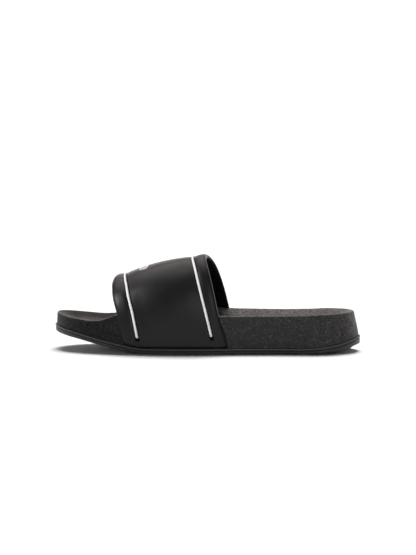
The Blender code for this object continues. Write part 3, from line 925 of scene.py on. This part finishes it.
def tread_depth_at(x):
    """Depth of the cross channels at places along X: full inside a channel, none outside."""
    inside = [np.abs(x - middle) < TREAD_WIDTH / 2 for middle in tread_channels()]
    return np.where(np.any(inside, axis=0), TREAD_DEPTH, 0)


def tread_edges():
    """X just before and just behind each edge of each channel."""
    return [
        middle + side * TREAD_WIDTH / 2 + step
        for middle in tread_channels()
        for side in (-1, 1)
        for step in (-TREAD_DRAFT, TREAD_DRAFT)
    ]


def outsole_rows():
    """Rows from the middle of the underside, out to its edge, up the band with its rib, and over the top.
    Height is the underside's or the ledge's own curve along the shoe, and the channels are taken out of the
    rows inside the border. Along the shoe's sides the border keeps each point's own X, so that the channels'
    edges stay straight."""
    loop = SoleLoop(tread_edges())
    side_slant = 0.25
    channel_end = 0.004

    def channelled(x, _y=0):
        return underside(x) + tread_depth_at(x)

    border = loop.inset(TREAD_BORDER, underside)
    keep_x = np.column_stack([loop.points[:, 0], border[:, 1]])
    along_side = (np.abs(loop.outward[:, 0]) < side_slant)[:, None]
    border_xy = np.where(along_side, keep_x, border[:, :2])
    border = np.column_stack([border_xy, underside(border_xy[:, 0])])
    inner_xy = border_xy + (loop.spine - border_xy) * channel_end
    inner = np.column_stack([inner_xy, channelled(border_xy[:, 0])])
    rows = [loop.to_spine(inner, share, channelled) for share in (1.0, 0.66, 0.33)]
    rows += [inner, border, loop.inset(BAND_INSET + SOLE_EDGE_ROUND, underside)]
    for turn in np.radians([22, 45, 67, 90]):
        inset = BAND_INSET + SOLE_EDGE_ROUND * (1 - math.sin(turn))
        rows.append(loop.inset(inset, underside, SOLE_EDGE_ROUND * (1 - math.cos(turn))))
    lower_top = RIB_HEIGHT + RIB_GROOVE
    for share in (0.33, 0.66, 0.95):
        rows.append(loop.inset(BAND_INSET, lambda x, _y, share=share: (
            underside(x) + SOLE_EDGE_ROUND
            + share * (ledge(x) - lower_top - underside(x) - SOLE_EDGE_ROUND))))
    band = (
        (BAND_INSET + 0.12 * MM, lower_top),
        (LIP / 2 + 0.3 * MM, lower_top - 0.18 * RIB_GROOVE),
        (LIP / 2 + BAND_INSET, lower_top - 0.4 * RIB_GROOVE),
        (LIP / 2 + BAND_INSET, RIB_HEIGHT + 0.25 * RIB_GROOVE),
        (LIP / 2, RIB_HEIGHT + 0.1 * RIB_GROOVE),
        (0.15 * MM, RIB_HEIGHT - 0.05 * RIB_GROOVE),
        (0.0, RIB_HEIGHT - 0.3 * RIB_GROOVE),
        (0.0, 0.55 * RIB_HEIGHT),
        (0.02 * MM, 0.35 * RIB_HEIGHT),
        (0.12 * MM, 0.17 * RIB_HEIGHT),
        (0.28 * MM, 0.05 * RIB_HEIGHT),
        (0.5 * MM, 0.0),
        (LIP, 0.0),
        (LIP + 2 * MM, 0.0),
    )
    rows += [loop.inset(inset, ledge, -drop) for inset, drop in band]
    top = rows[-1]
    rows += [loop.to_spine(top, share, ledge) for share in (0.5, 1.0)]
    return rows


class SLIDE_OT_outsole(bpy.types.Operator):
    """Lays the outsole's banded side and channelled underside"""

    bl_idname = "slide.outsole"
    bl_label = "Outsole"

    def execute(self, context):
        settings = context.scene.slide_settings
        rows = outsole_rows()
        finish = np.zeros((len(rows), len(rows[0])), int)
        # The rib's upper edge gets the painted highlight
        finish[RIB_HIGHLIGHT_ROWS] = 1
        materials = [sole_finish(settings.sole_colour), rib_highlight_finish(settings.sole_colour)]
        outsole = object_from_rows("outsole_shell", rows, materials, finish=finish)
        outsole.data.set_sharp_from_angle(angle=math.radians(50))
        fit_to_frame(outsole, "outsole", "outsole")
        return {"FINISHED"}


# Footbed


def footbed_rows(relief):
    """Rows from the middle of the flat base, up the leaning wall, round the rim and down the cup's slope to
    the shoe's middle line. Beside the strap each row is held in to the seat's depth. The larger wrinkles are
    noise along the surface's outward direction."""
    loop = SoleLoop()

    def foot(x, _y=0):
        return ledge(x) + GAP

    lean = WALL_LEAN * smooth_at(SIDE, "lean", sole_share(loop.points[:, 0]))
    base = loop.inset(LIP + GAP, foot)
    rows = [loop.to_spine(base, 1.0, foot), loop.to_spine(base, 0.5, foot), base]
    for up in np.concatenate([[0.004], np.linspace(0.02, 1, WALL_ROWS - 1)]):
        inset = LIP + lean * smooth_at(WALL, "lean", up)
        rows.append(loop.inset(inset, lambda x, y, up=up: foot(x) + up * (rim(x, y) - RIM_ROUND - foot(x))))
    for turn in np.radians(np.linspace(12, 90, RIM_ROWS)):
        inset = LIP + lean + RIM_ROUND * (1 - math.cos(turn))
        rows.append(loop.inset(inset, rim, -RIM_ROUND * (1 - math.sin(turn))))
    for reach in np.linspace(0.05, 1, SLOPE_ROWS):
        drop = smooth_at(CUP, "drop", reach)
        inset = LIP + lean + RIM_ROUND + reach * CUP_REACH
        rows.append(loop.inset(inset, lambda x, y, drop=drop: (
            rim(x, y) + drop * (foot_level(x, y) - rim(x, y)))))
    cup = rows[-1]
    rows += [loop.to_spine(cup, share, foot_level) for share in np.linspace(0.12, 1, FLOOR_ROWS)]
    rows = np.array(rows)
    outer = rows[BASE_ROWS:-1]
    number = np.arange(len(outer))[:, None]
    sideways = np.column_stack([loop.outward, np.zeros(len(loop.outward))])
    up_share = smooth_step(WALL_ROWS - 2, WALL_ROWS + RIM_ROWS, number)[..., None]
    direction = sideways * (1 - up_share) + np.array([0, 0, 1]) * up_share
    fade = smooth_step(0, 2, number) * smooth_step(0, 6, len(outer) - number)
    wrinkles = sum(share * lumps(outer, size, seed) for share, size, seed in WRINKLES)
    rows[BASE_ROWS:-1] = outer + direction * (relief * fade * wrinkles)[..., None]
    flat = rows.reshape(-1, 3)
    crest_y, limit = seat_limit(flat)
    offset = flat[:, 1] - crest_y
    flat[:, 1] = crest_y + np.clip(offset, -limit, limit)
    return flat.reshape(rows.shape)


def footbed_wear_and_painted_light(rows):
    """How much paler or darker the footbed is painted: paler on the rim, as a painted highlight, and on the
    slope inside it at the heel, partly wear and partly a painted highlight; little on the wall; below 0
    before the strap, where a painted shade darkens the toe's cup."""
    past_wall = np.arange(len(rows))[:, None] - BASE_ROWS - WALL_ROWS
    along = rows[..., 0] / SHOE_LENGTH
    # The rim is painted paler, as a highlight
    rim_painted_highlight = smooth_step(0, 3, past_wall) * (1 - smooth_step(5, 8, past_wall))
    slope_wear_and_highlight = smooth_step(2, 5, past_wall) * (1 - 0.75 * smooth_step(12, 30, past_wall))
    at_heel = smooth_step(*HEEL_WEAR_AND_HIGHLIGHT, along)
    patches = 0.82 + 0.18 * lumps(rows, *WEAR_PATCHES)
    # The toe's cup before the strap is painted darker, as shade
    toe_painted_shade = 1 - smooth_step(*TOE_SHADE_SPAN, along)
    return np.maximum(rim_painted_highlight * 0.8, slope_wear_and_highlight * at_heel) * patches - 0.85 * toe_painted_shade * (1 - rim_painted_highlight)


class SLIDE_OT_footbed(bpy.types.Operator):
    """Shapes the footbed's grained wall, rounded rim and cupped top"""

    bl_idname = "slide.footbed"
    bl_label = "Footbed"

    def execute(self, context):
        settings = context.scene.slide_settings
        rows = footbed_rows(settings.grain_relief)
        foam = foam_finish(settings.foam_colour)
        # The footbed's colour carries painted highlight and painted shade through its attribute of wear and
        # painted light
        footbed = object_from_rows("footbed_shell", rows, [foam], worn=footbed_wear_and_painted_light(rows))
        footbed.data.set_sharp_from_angle(angle=math.radians(60))
        fit_to_frame(footbed, "footbed", "footbed")
        return {"FINISHED"}


# Strap


def strap_stations(count):
    """Values of across from foot to foot, closer together at the rounded lower edges."""
    share = np.linspace(-1, 1, count)
    even = np.sin(share * math.pi / 2) * 0.25 + share * 0.75
    last = 1 - STRAP_EDGE_ROUND / arch_half_length() * np.array([0, 0.08, 0.2, 0.38, 0.62, 1.0])
    inner = even[np.abs(even) < last[-1] - 1e-3]
    return np.concatenate([-last, inner, last[::-1]])


def fold_height(share, across, length):
    """Soft troughs and ridges of the panel: each is a bell across its line, and fades in from its start."""
    total = 0
    scale = np.array([PANEL_LENGTH, length])
    spot = np.stack([share, across], axis=-1) * scale
    for along_1, across_1, along_2, across_2, half_width, height in zip(*PANEL_FOLDS.values()):
        start = np.array([along_1, across_1]) * scale
        line = np.array([along_2, across_2]) * scale - start
        t = np.clip((spot - start) @ line / (line @ line), 0, 1)
        away = np.linalg.norm(spot - start - t[..., None] * line, axis=-1)
        total = total + height * np.exp(-((away / half_width) ** 2)) * smooth_step(0, 0.12, t) ** 0.5
    return total


def bar_recess(share, across, length):
    """Depth of the shallow dish that the crest bar lies in, with soft sides."""
    along = (share - BAR_SHARE) * PANEL_LENGTH / (BAR_WIDTH / 2 + GAP)
    sideways = across * length / (BAR_LENGTH / 2 + GAP)
    power = 2 / BAR_CORNER
    away = (np.abs(along) ** power + np.abs(sideways) ** power) ** (1 / power)
    return BAR_DEPTH * (1 - smooth_step(*DISH_EDGE, away))


def strap_rows(across, settings):
    """Rows of the strap, one closed section per station: front roll, front band, groove, panel, groove, rear
    band, rear roll and lining. Each point is the strap's face plus the section's height along its outward
    direction. Also gives each point's finish: 0 skin, 1 lining, 2 the groove's painted shade."""
    length = arch_half_length()
    across = across[None, :]
    down = np.abs(across)
    span = strap_span(across)
    front, rear = piping_lines(across)
    from_foot = (1 - down) * length
    groove_end, groove_full = PIPING_END - GROOVE_END_PAST, PIPING_END - GROOVE_FULL_PAST
    grooved = GROOVE_DEPTH * smooth_step(groove_end, groove_full, from_foot)
    half_groove = PIPING_RADIUS + GAP
    groove_place = GROOVE["at"][:, None] * half_groove
    groove_reach = GROOVE["at"][-1] * half_groove
    edge = STRAP_WALL / 2
    shoulder = STRAP_WALL - BAND_DIP
    turns = np.radians(np.linspace(-90, 90, ROLL_POINTS))[:, None]

    def edge_roll(reach):
        """(distance from the edge, height) round a rolled edge that reaches that far over the face."""
        distance = np.where(turns > 0, reach, edge) * (1 - np.cos(turns))
        return distance + 0 * across, edge * (1 + np.sin(turns)) + 0 * across

    widest_roll = np.minimum(settings.side_roll, front - groove_reach - LEAST_BAND)
    front_reach = FRONT_ROLL + (widest_roll - FRONT_ROLL) * smooth_step(*ROLL_WIDENS, down)
    front_roll, rear_roll = edge_roll(front_reach), edge_roll(REAR_ROLL)
    band_share = np.linspace(0.07, 0.97, BAND_POINTS)[:, None]
    bulge = settings.band_bulge * np.sin(math.pi * band_share) ** 0.8
    near_bar = BAR_SHARE + np.linspace(-0.13, 0.13, BAR_POINTS)
    even = np.linspace(0.012, 0.988, PANEL_POINTS)
    panel_share = np.unique(np.concatenate([even, near_bar]))[:, None]
    lining_share = np.linspace(0.97, 0.03, LINING_POINTS)[:, None]

    front_flat = front - groove_reach - front_reach
    front_band = front_reach + band_share * front_flat
    rear_band = span - REAR_ROLL - band_share[::-1] * (rear - groove_reach - REAR_ROLL)
    band_height = STRAP_WALL - BAND_DIP * band_share + 0 * across
    front_height = band_height + bulge * smooth_step(*PUFFED_BAND, front_flat)
    rear_height = (band_height + bulge)[::-1]
    groove_height = shoulder - grooved * GROOVE["sink"][:, None]
    start = front + groove_reach
    panel = span - rear - groove_reach - start
    crown_power = CROWN_POWER + SIDE_CROWN_POWER * smooth_step(*CROWN_SOFTENS, down)
    crown = (BAND_DIP + PANEL_CROWN) * np.sin(math.pi * panel_share) ** crown_power
    fade = smooth_step(0, FOLD_FOOT_FADE, from_foot)
    fade = fade * smooth_step(0, FOLD_FADE, panel_share) * smooth_step(0, FOLD_FADE, 1 - panel_share)
    folds = fold_height(panel_share + 0 * across, across + 0 * panel_share, length)
    dish = bar_recess(panel_share, across, length)
    hem = shoulder + crown + settings.fold_depth * folds * fade - dish
    parts = [
        (*front_roll, 0),
        (front_band, front_height, 0),
        (front + groove_place, groove_height, 2),
        (start + panel_share * panel, hem, 0),
        (span - rear + groove_place, groove_height, 2),
        (rear_band, rear_height, 0),
        (span - rear_roll[0][::-1], rear_roll[1][::-1], 0),
        (lining_share * span, 0 * lining_share * span, 1),
    ]
    behind = np.concatenate([np.broadcast_to(part[0], (len(part[1]), across.shape[1])) for part in parts])
    height = np.concatenate([np.broadcast_to(part[1], (len(part[1]), across.shape[1])) for part in parts])
    finish = np.concatenate([np.full(len(part[1]), part[2]) for part in parts])
    finish[:LINED_ROWS[0]] = 1
    finish[-LINING_POINTS - LINED_ROWS[1]:] = 1

    into_corner = np.clip(STRAP_CORNER - from_foot, 0, None)
    trim = STRAP_CORNER - np.sqrt(STRAP_CORNER**2 - into_corner**2)
    behind = trim + behind * (span - 2 * trim) / span
    into_edge = np.clip(STRAP_EDGE_ROUND - from_foot, 0, 0.9 * STRAP_EDGE_ROUND)
    thickness = np.sqrt(1 - (into_edge / STRAP_EDGE_ROUND) ** 2)
    height = edge + (height - edge) * thickness
    point, outward, _ = strap_frame(behind / span, across + 0 * behind)
    rows = point + outward * (height - STRAP_WALL)[..., None]
    past_cord = from_foot < PIPING_END - GROOVE_SHADE_PAST
    finish = np.where((finish[:, None] == 2) & past_cord, 0, finish[:, None])
    return rows.transpose(1, 0, 2), finish.T


class SLIDE_OT_strap(bpy.types.Operator):
    """Shapes the padded strap with its rolled edges, grooves, soft folds and lining"""

    bl_idname = "slide.strap"
    bl_label = "Strap"

    def execute(self, context):
        settings = context.scene.slide_settings
        rows, finish = strap_rows(strap_stations(settings.strap_stations), settings)
        materials = [
            strap_finish(settings.strap_colour),
            lining_finish(settings.lining_colour),
            # The grooves are painted dark, as shade
            groove_painted_shade_finish(scaled(settings.strap_colour, 0.25)),
        ]
        strap = object_from_rows("strap_shell", rows, materials, caps=True, finish=finish)
        strap.data.set_sharp_from_angle(angle=math.radians(55))
        fit_to_frame(strap, "strap", "strap")
        return {"FINISHED"}


# Cords on the strap


def lay_cord(name, along, across, height, radius, sides, material):
    """A round cord along a line on the strap, at that height in its wall. Its ends are rounded off."""
    from_end = np.clip((across[-1] - np.abs(across)) * arch_half_length() / radius, 0.02, 1)
    thickness = np.sqrt(1 - (1 - from_end) ** 2)
    point, outward, backward = strap_frame(along, across)
    centre = point + outward * (height - STRAP_WALL)
    turns = (np.arange(sides) * 2 * math.pi / sides)[None, :, None]
    ring = np.cos(turns) * outward[:, None, :] + np.sin(turns) * backward[:, None, :]
    rows = centre[:, None, :] + (radius * thickness)[:, None, None] * ring
    return object_from_rows(name, rows, [material], caps=True)


class SLIDE_OT_piping(bpy.types.Operator):
    """Lays the two light cords into the strap's grooves"""

    bl_idname = "slide.piping"
    bl_label = "Piping"

    def execute(self, context):
        settings = context.scene.slide_settings
        length = arch_half_length()
        last = 1 - PIPING_END / length
        tip = PIPING_RADIUS / length
        ends = last - tip * np.linspace(0, 1, TIP_STATIONS)
        between_ends = np.linspace(-last + tip, last - tip, PIPING_STATIONS)[1:-1]
        across = np.concatenate([-ends, between_ends, ends[::-1]])
        height = STRAP_WALL - BAND_DIP - GROOVE_DEPTH + GAP + PIPING_RADIUS
        front, rear = piping_lines(across)
        span = strap_span(across)
        cord = pale_finish("piping_white", settings.trim_colour, 0.45)
        lines = {"piping_front": front / span, "piping_rear": (span - rear) / span}
        for name, along in lines.items():
            piping = lay_cord(name + "_cord", along, across, height, PIPING_RADIUS, PIPING_SIDES, cord)
            fit_to_frame(piping, "piping", name)
        return {"FINISHED"}


class SLIDE_OT_lining_seams(bpy.types.Operator):
    """Runs the thin binding edge along the lining, inside the strap's front and rear rolls"""

    bl_idname = "slide.lining_seams"
    bl_label = "Lining Seams"

    def execute(self, context):
        last = 1 - SEAM_END / arch_half_length()
        across = np.linspace(-last, last, SEAM_STATIONS)
        edge = STRAP_WALL / 2
        inward = edge * (1 - math.cos(SEAM_TURN))
        height = edge * (1 + math.sin(SEAM_TURN))
        binding = seam_finish(context.scene.slide_settings.seam_colour)
        span = strap_span(across)
        lines = {"lining_seam_front": inward / span, "lining_seam_rear": 1 - inward / span}
        for name, along in lines.items():
            seam = lay_cord(name, along, across, height, SEAM_RADIUS, SEAM_SIDES, binding)
            fit_to_frame(seam, "strap")
        return {"FINISHED"}


class SLIDE_OT_crest_bar(bpy.types.Operator):
    """Sets the plain light bar into its shallow dish on the crest"""

    bl_idname = "slide.crest_bar"
    bl_label = "Crest Bar"

    def execute(self, context):
        settings = context.scene.slide_settings
        length = arch_half_length()
        crown = PANEL_CROWN * math.sin(math.pi * BAR_SHARE) ** CROWN_POWER
        bottom, top = crown - BAR_DEPTH + BAR_SEAT, crown + BAR_STANDS_OUT
        turns = np.arange(BAR_SIDES) * 2 * math.pi / BAR_SIDES
        reach_x = np.sign(np.cos(turns)) * np.abs(np.cos(turns)) ** BAR_CORNER
        reach_y = np.sign(np.sin(turns)) * np.abs(np.sin(turns)) ** BAR_CORNER
        profile = [(0.02, 0, bottom), (0.5, 0, bottom), (1, 0, bottom), (1, 0, top - BAR_EDGE_ROUND)]
        for turn in np.radians([25, 50, 75, 90]):
            inset, drop = BAR_EDGE_ROUND * (1 - math.cos(turn)), BAR_EDGE_ROUND * (1 - math.sin(turn))
            profile.append((1, inset, top - drop))
        profile += [(share, 0, top) for share in (0.85, 0.6, 0.3, 0.02)]
        rows = []
        for share, inset, height in profile:
            along = BAR_AT - STRAP_FRONT + reach_x * (BAR_WIDTH / 2 * share - inset)
            across = reach_y * (BAR_LENGTH / 2 * share - inset) / length
            point, outward, _ = strap_frame(along / STRAP_CREST_LENGTH, across)
            rows.append(point + outward * height)
        finish = pale_finish("crest_bar_white", settings.trim_colour, 0.4)
        bar = object_from_rows("crest_bar_inlay", rows, [finish], caps=True)
        bar.data.set_sharp_from_angle(angle=math.radians(50))
        fit_to_frame(bar, "crest_bar", "crest_bar")
        return {"FINISHED"}


# Stage


def limit_light(lamp, pieces, state):
    """Keeps a lamp's light on these pieces alone, where state is INCLUDE, or off them, with EXCLUDE."""
    receivers = bpy.data.collections.new(lamp.name + "_receivers")
    for piece in pieces:
        receivers.objects.link(piece)
    for entry in receivers.collection_objects:
        entry.light_linking.link_state = state
    lamp.light_linking.receiver_collection = receivers


def add_area_light(name, place, size, watts):
    """A rectangular studio lamp that faces the middle of the shoe."""
    light = bpy.data.lights.new(name, "AREA")
    light.shape = "RECTANGLE"
    light.size, light.size_y = size
    light.energy = watts
    lamp = add_object(name, light)
    lamp.location = place
    lamp.rotation_euler = (Vector(SOFTBOX_TARGET) - Vector(place)).to_track_quat("-Z", "Y").to_euler()
    return lamp


def add_broad_light(name, height, turn, spread, on_floor, colour=(1, 1, 1)):
    """A broad soft light from above and behind the shoe, the same over the whole floor."""
    light = bpy.data.lights.new(name, "SUN")
    light.angle = spread
    light.energy = on_floor * math.pi / math.sin(height)
    light.color = colour
    lamp = add_object(name, light)
    level = math.cos(height)
    toward = Vector((level * math.sin(turn), level * math.cos(turn), math.sin(height)))
    lamp.rotation_euler = toward.to_track_quat("Z", "Y").to_euler()
    return lamp


def add_floor():
    """A wide, flat, pale floor under the shoe."""
    mesh = bpy.data.meshes.new("studio_floor")
    turns = ((-1, -1), (1, -1), (1, 1), (-1, 1))
    corners = [(x * FLOOR_REACH, y * FLOOR_REACH, 0) for x, y in turns]
    mesh.from_pydata(corners, [], [(0, 1, 2, 3)])
    finish = Finish("studio_paper", (0.92, 0.92, 0.92), roughness=0.9, specular=0.1)
    finish.shades(finish.noise(3, detail=2), (0.915, 0.915, 0.915), (0.925, 0.925, 0.925))
    mesh.materials.append(finish.material)
    floor = add_object("studio_floor", mesh)
    return floor


def add_dome():
    """The studio's air: walls that glow behind and before the shoe, dim at its ends, and a dark ceiling."""
    world = bpy.data.worlds.new("studio_dome")
    world.use_nodes = True
    tree = world.node_tree
    direction = add_node(tree, "TexCoord", {}).outputs["Generated"]
    x, y, z = add_node(tree, "SeparateXYZ", {"Vector": direction}).outputs
    before = add_node(tree, "Math", {0: y, 1: -1}, operation="MULTIPLY").outputs["Value"]
    turn = add_node(tree, "Math", {0: x, 1: before}, operation="ARCTAN2").outputs["Value"]
    full_turn = {"Value": turn, "From Min": -math.pi, "From Max": math.pi}
    ramp = add_node(tree, "ValToRGB", {"Fac": add_node(tree, "MapRange", full_turn).outputs["Result"]})
    ramp.color_ramp.interpolation = "B_SPLINE"
    brightest = max(glow for _, glow in WALL_GLOW)
    while len(ramp.color_ramp.elements) < len(WALL_GLOW):
        ramp.color_ramp.elements.new(0.5)
    for element, (angle, glow) in zip(ramp.color_ramp.elements, WALL_GLOW):
        element.position = (angle + 180) / 360
        behind = (1 - math.cos(math.radians(angle))) / 2
        tint = [cool + behind * (warm - cool) for warm, cool in zip(WARM, COOL)]
        element.color = (*(glow / brightest * channel for channel in tint), 1)
    fade = {"From Min": WALLS_FADE[0], "From Max": WALLS_FADE[1], "To Min": brightest, "To Max": DARK_CEILING}
    up = add_node(tree, "MapRange", {"Value": z, **fade}, interpolation_type="SMOOTHSTEP")
    background = tree.nodes["Background"]
    tree.links.new(ramp.outputs["Color"], background.inputs["Color"])
    tree.links.new(up.outputs["Result"], background.inputs["Strength"])
    bpy.context.scene.world = world


def add_camera(settings):
    """The photo's view: the camera looks along its angle, and the lens gives the photo's pixel size."""
    azimuth, elevation = settings.camera_azimuth, settings.camera_elevation
    level = math.cos(elevation)
    back = Vector((math.sin(azimuth) * level, -math.cos(azimuth) * level, math.sin(elevation)))
    right = Vector((math.cos(azimuth), math.sin(azimuth), 0))
    up = back.cross(right)
    to_right = (IMAGE_WIDTH / 2 - MIDDLE_COLUMN) * PIXEL
    upward = (FLOOR_ROW - IMAGE_HEIGHT / 2) * PIXEL
    data = bpy.data.cameras.new("photo_camera")
    data.sensor_fit = "AUTO"
    data.sensor_width = 36
    data.lens = data.sensor_width * settings.camera_distance / (IMAGE_HEIGHT * PIXEL)
    data.clip_end = 100
    camera = add_object("photo_camera", data)
    camera.location = right * to_right + up * upward + back * settings.camera_distance
    camera.rotation_mode = "QUATERNION"
    camera.rotation_quaternion = back.to_track_quat("Z", "Y")
    bpy.context.scene.camera = camera


class SLIDE_OT_stage(bpy.types.Operator):
    """Sets the pale floor, the soft lamps and the camera at the photo's angle"""

    bl_idname = "slide.stage"
    bl_label = "Stage"

    def execute(self, context):
        floor = add_floor()
        add_dome()
        lit_from_left = ("strap_shell", "piping_front_cord", "piping_rear_cord")
        on_strap = [bpy.data.objects[name] for name in lit_from_left]
        limit_light(add_broad_light("key_light", *KEY_LIGHT, WARM), [floor], "EXCLUDE")
        limit_light(add_broad_light("floor_light", *FLOOR_LIGHT), [floor], "INCLUDE")
        limit_light(add_area_light("left_softbox", *LEFT_SOFTBOX), on_strap, "INCLUDE")
        limit_light(add_area_light("right_softbox", *RIGHT_SOFTBOX), [floor], "EXCLUDE")
        context.scene.view_settings.view_transform = "Standard"
        add_camera(context.scene.slide_settings)
        return {"FINISHED"}


PIECE_OPERATORS = (
    SLIDE_OT_outsole,
    SLIDE_OT_footbed,
    SLIDE_OT_strap,
    SLIDE_OT_piping,
    SLIDE_OT_lining_seams,
    SLIDE_OT_crest_bar,
    SLIDE_OT_stage,
)


class SLIDE_PT_panel(bpy.types.Panel):
    """Lists the sandal's pieces and their settings"""

    bl_idname = "SLIDE_PT_panel"
    bl_label = "Slide Sandal"
    bl_space_type = "VIEW_3D"
    bl_region_type = "UI"
    bl_category = "Slide"

    def draw(self, context):
        settings = context.scene.slide_settings
        for name in settings.__annotations__:
            self.layout.prop(settings, name)
        for operator in PIECE_OPERATORS:
            self.layout.operator(operator.bl_idname)


CLASSES = (SLIDE_PG_settings, *PIECE_OPERATORS, SLIDE_PT_panel)


def register():
    for cls in CLASSES:
        bpy.utils.register_class(cls)
    bpy.types.Scene.slide_settings = PointerProperty(type=SLIDE_PG_settings)


def unregister():
    del bpy.types.Scene.slide_settings
    for cls in reversed(CLASSES):
        bpy.utils.unregister_class(cls)


def main():
    """Registers the add-on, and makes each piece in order."""
    register()
    bpy.ops.slide.outsole()
    bpy.ops.slide.footbed()
    bpy.ops.slide.strap()
    bpy.ops.slide.piping()
    bpy.ops.slide.lining_seams()
    bpy.ops.slide.crest_bar()
    bpy.ops.slide.stage()


if __name__ == "__main__":
    main()
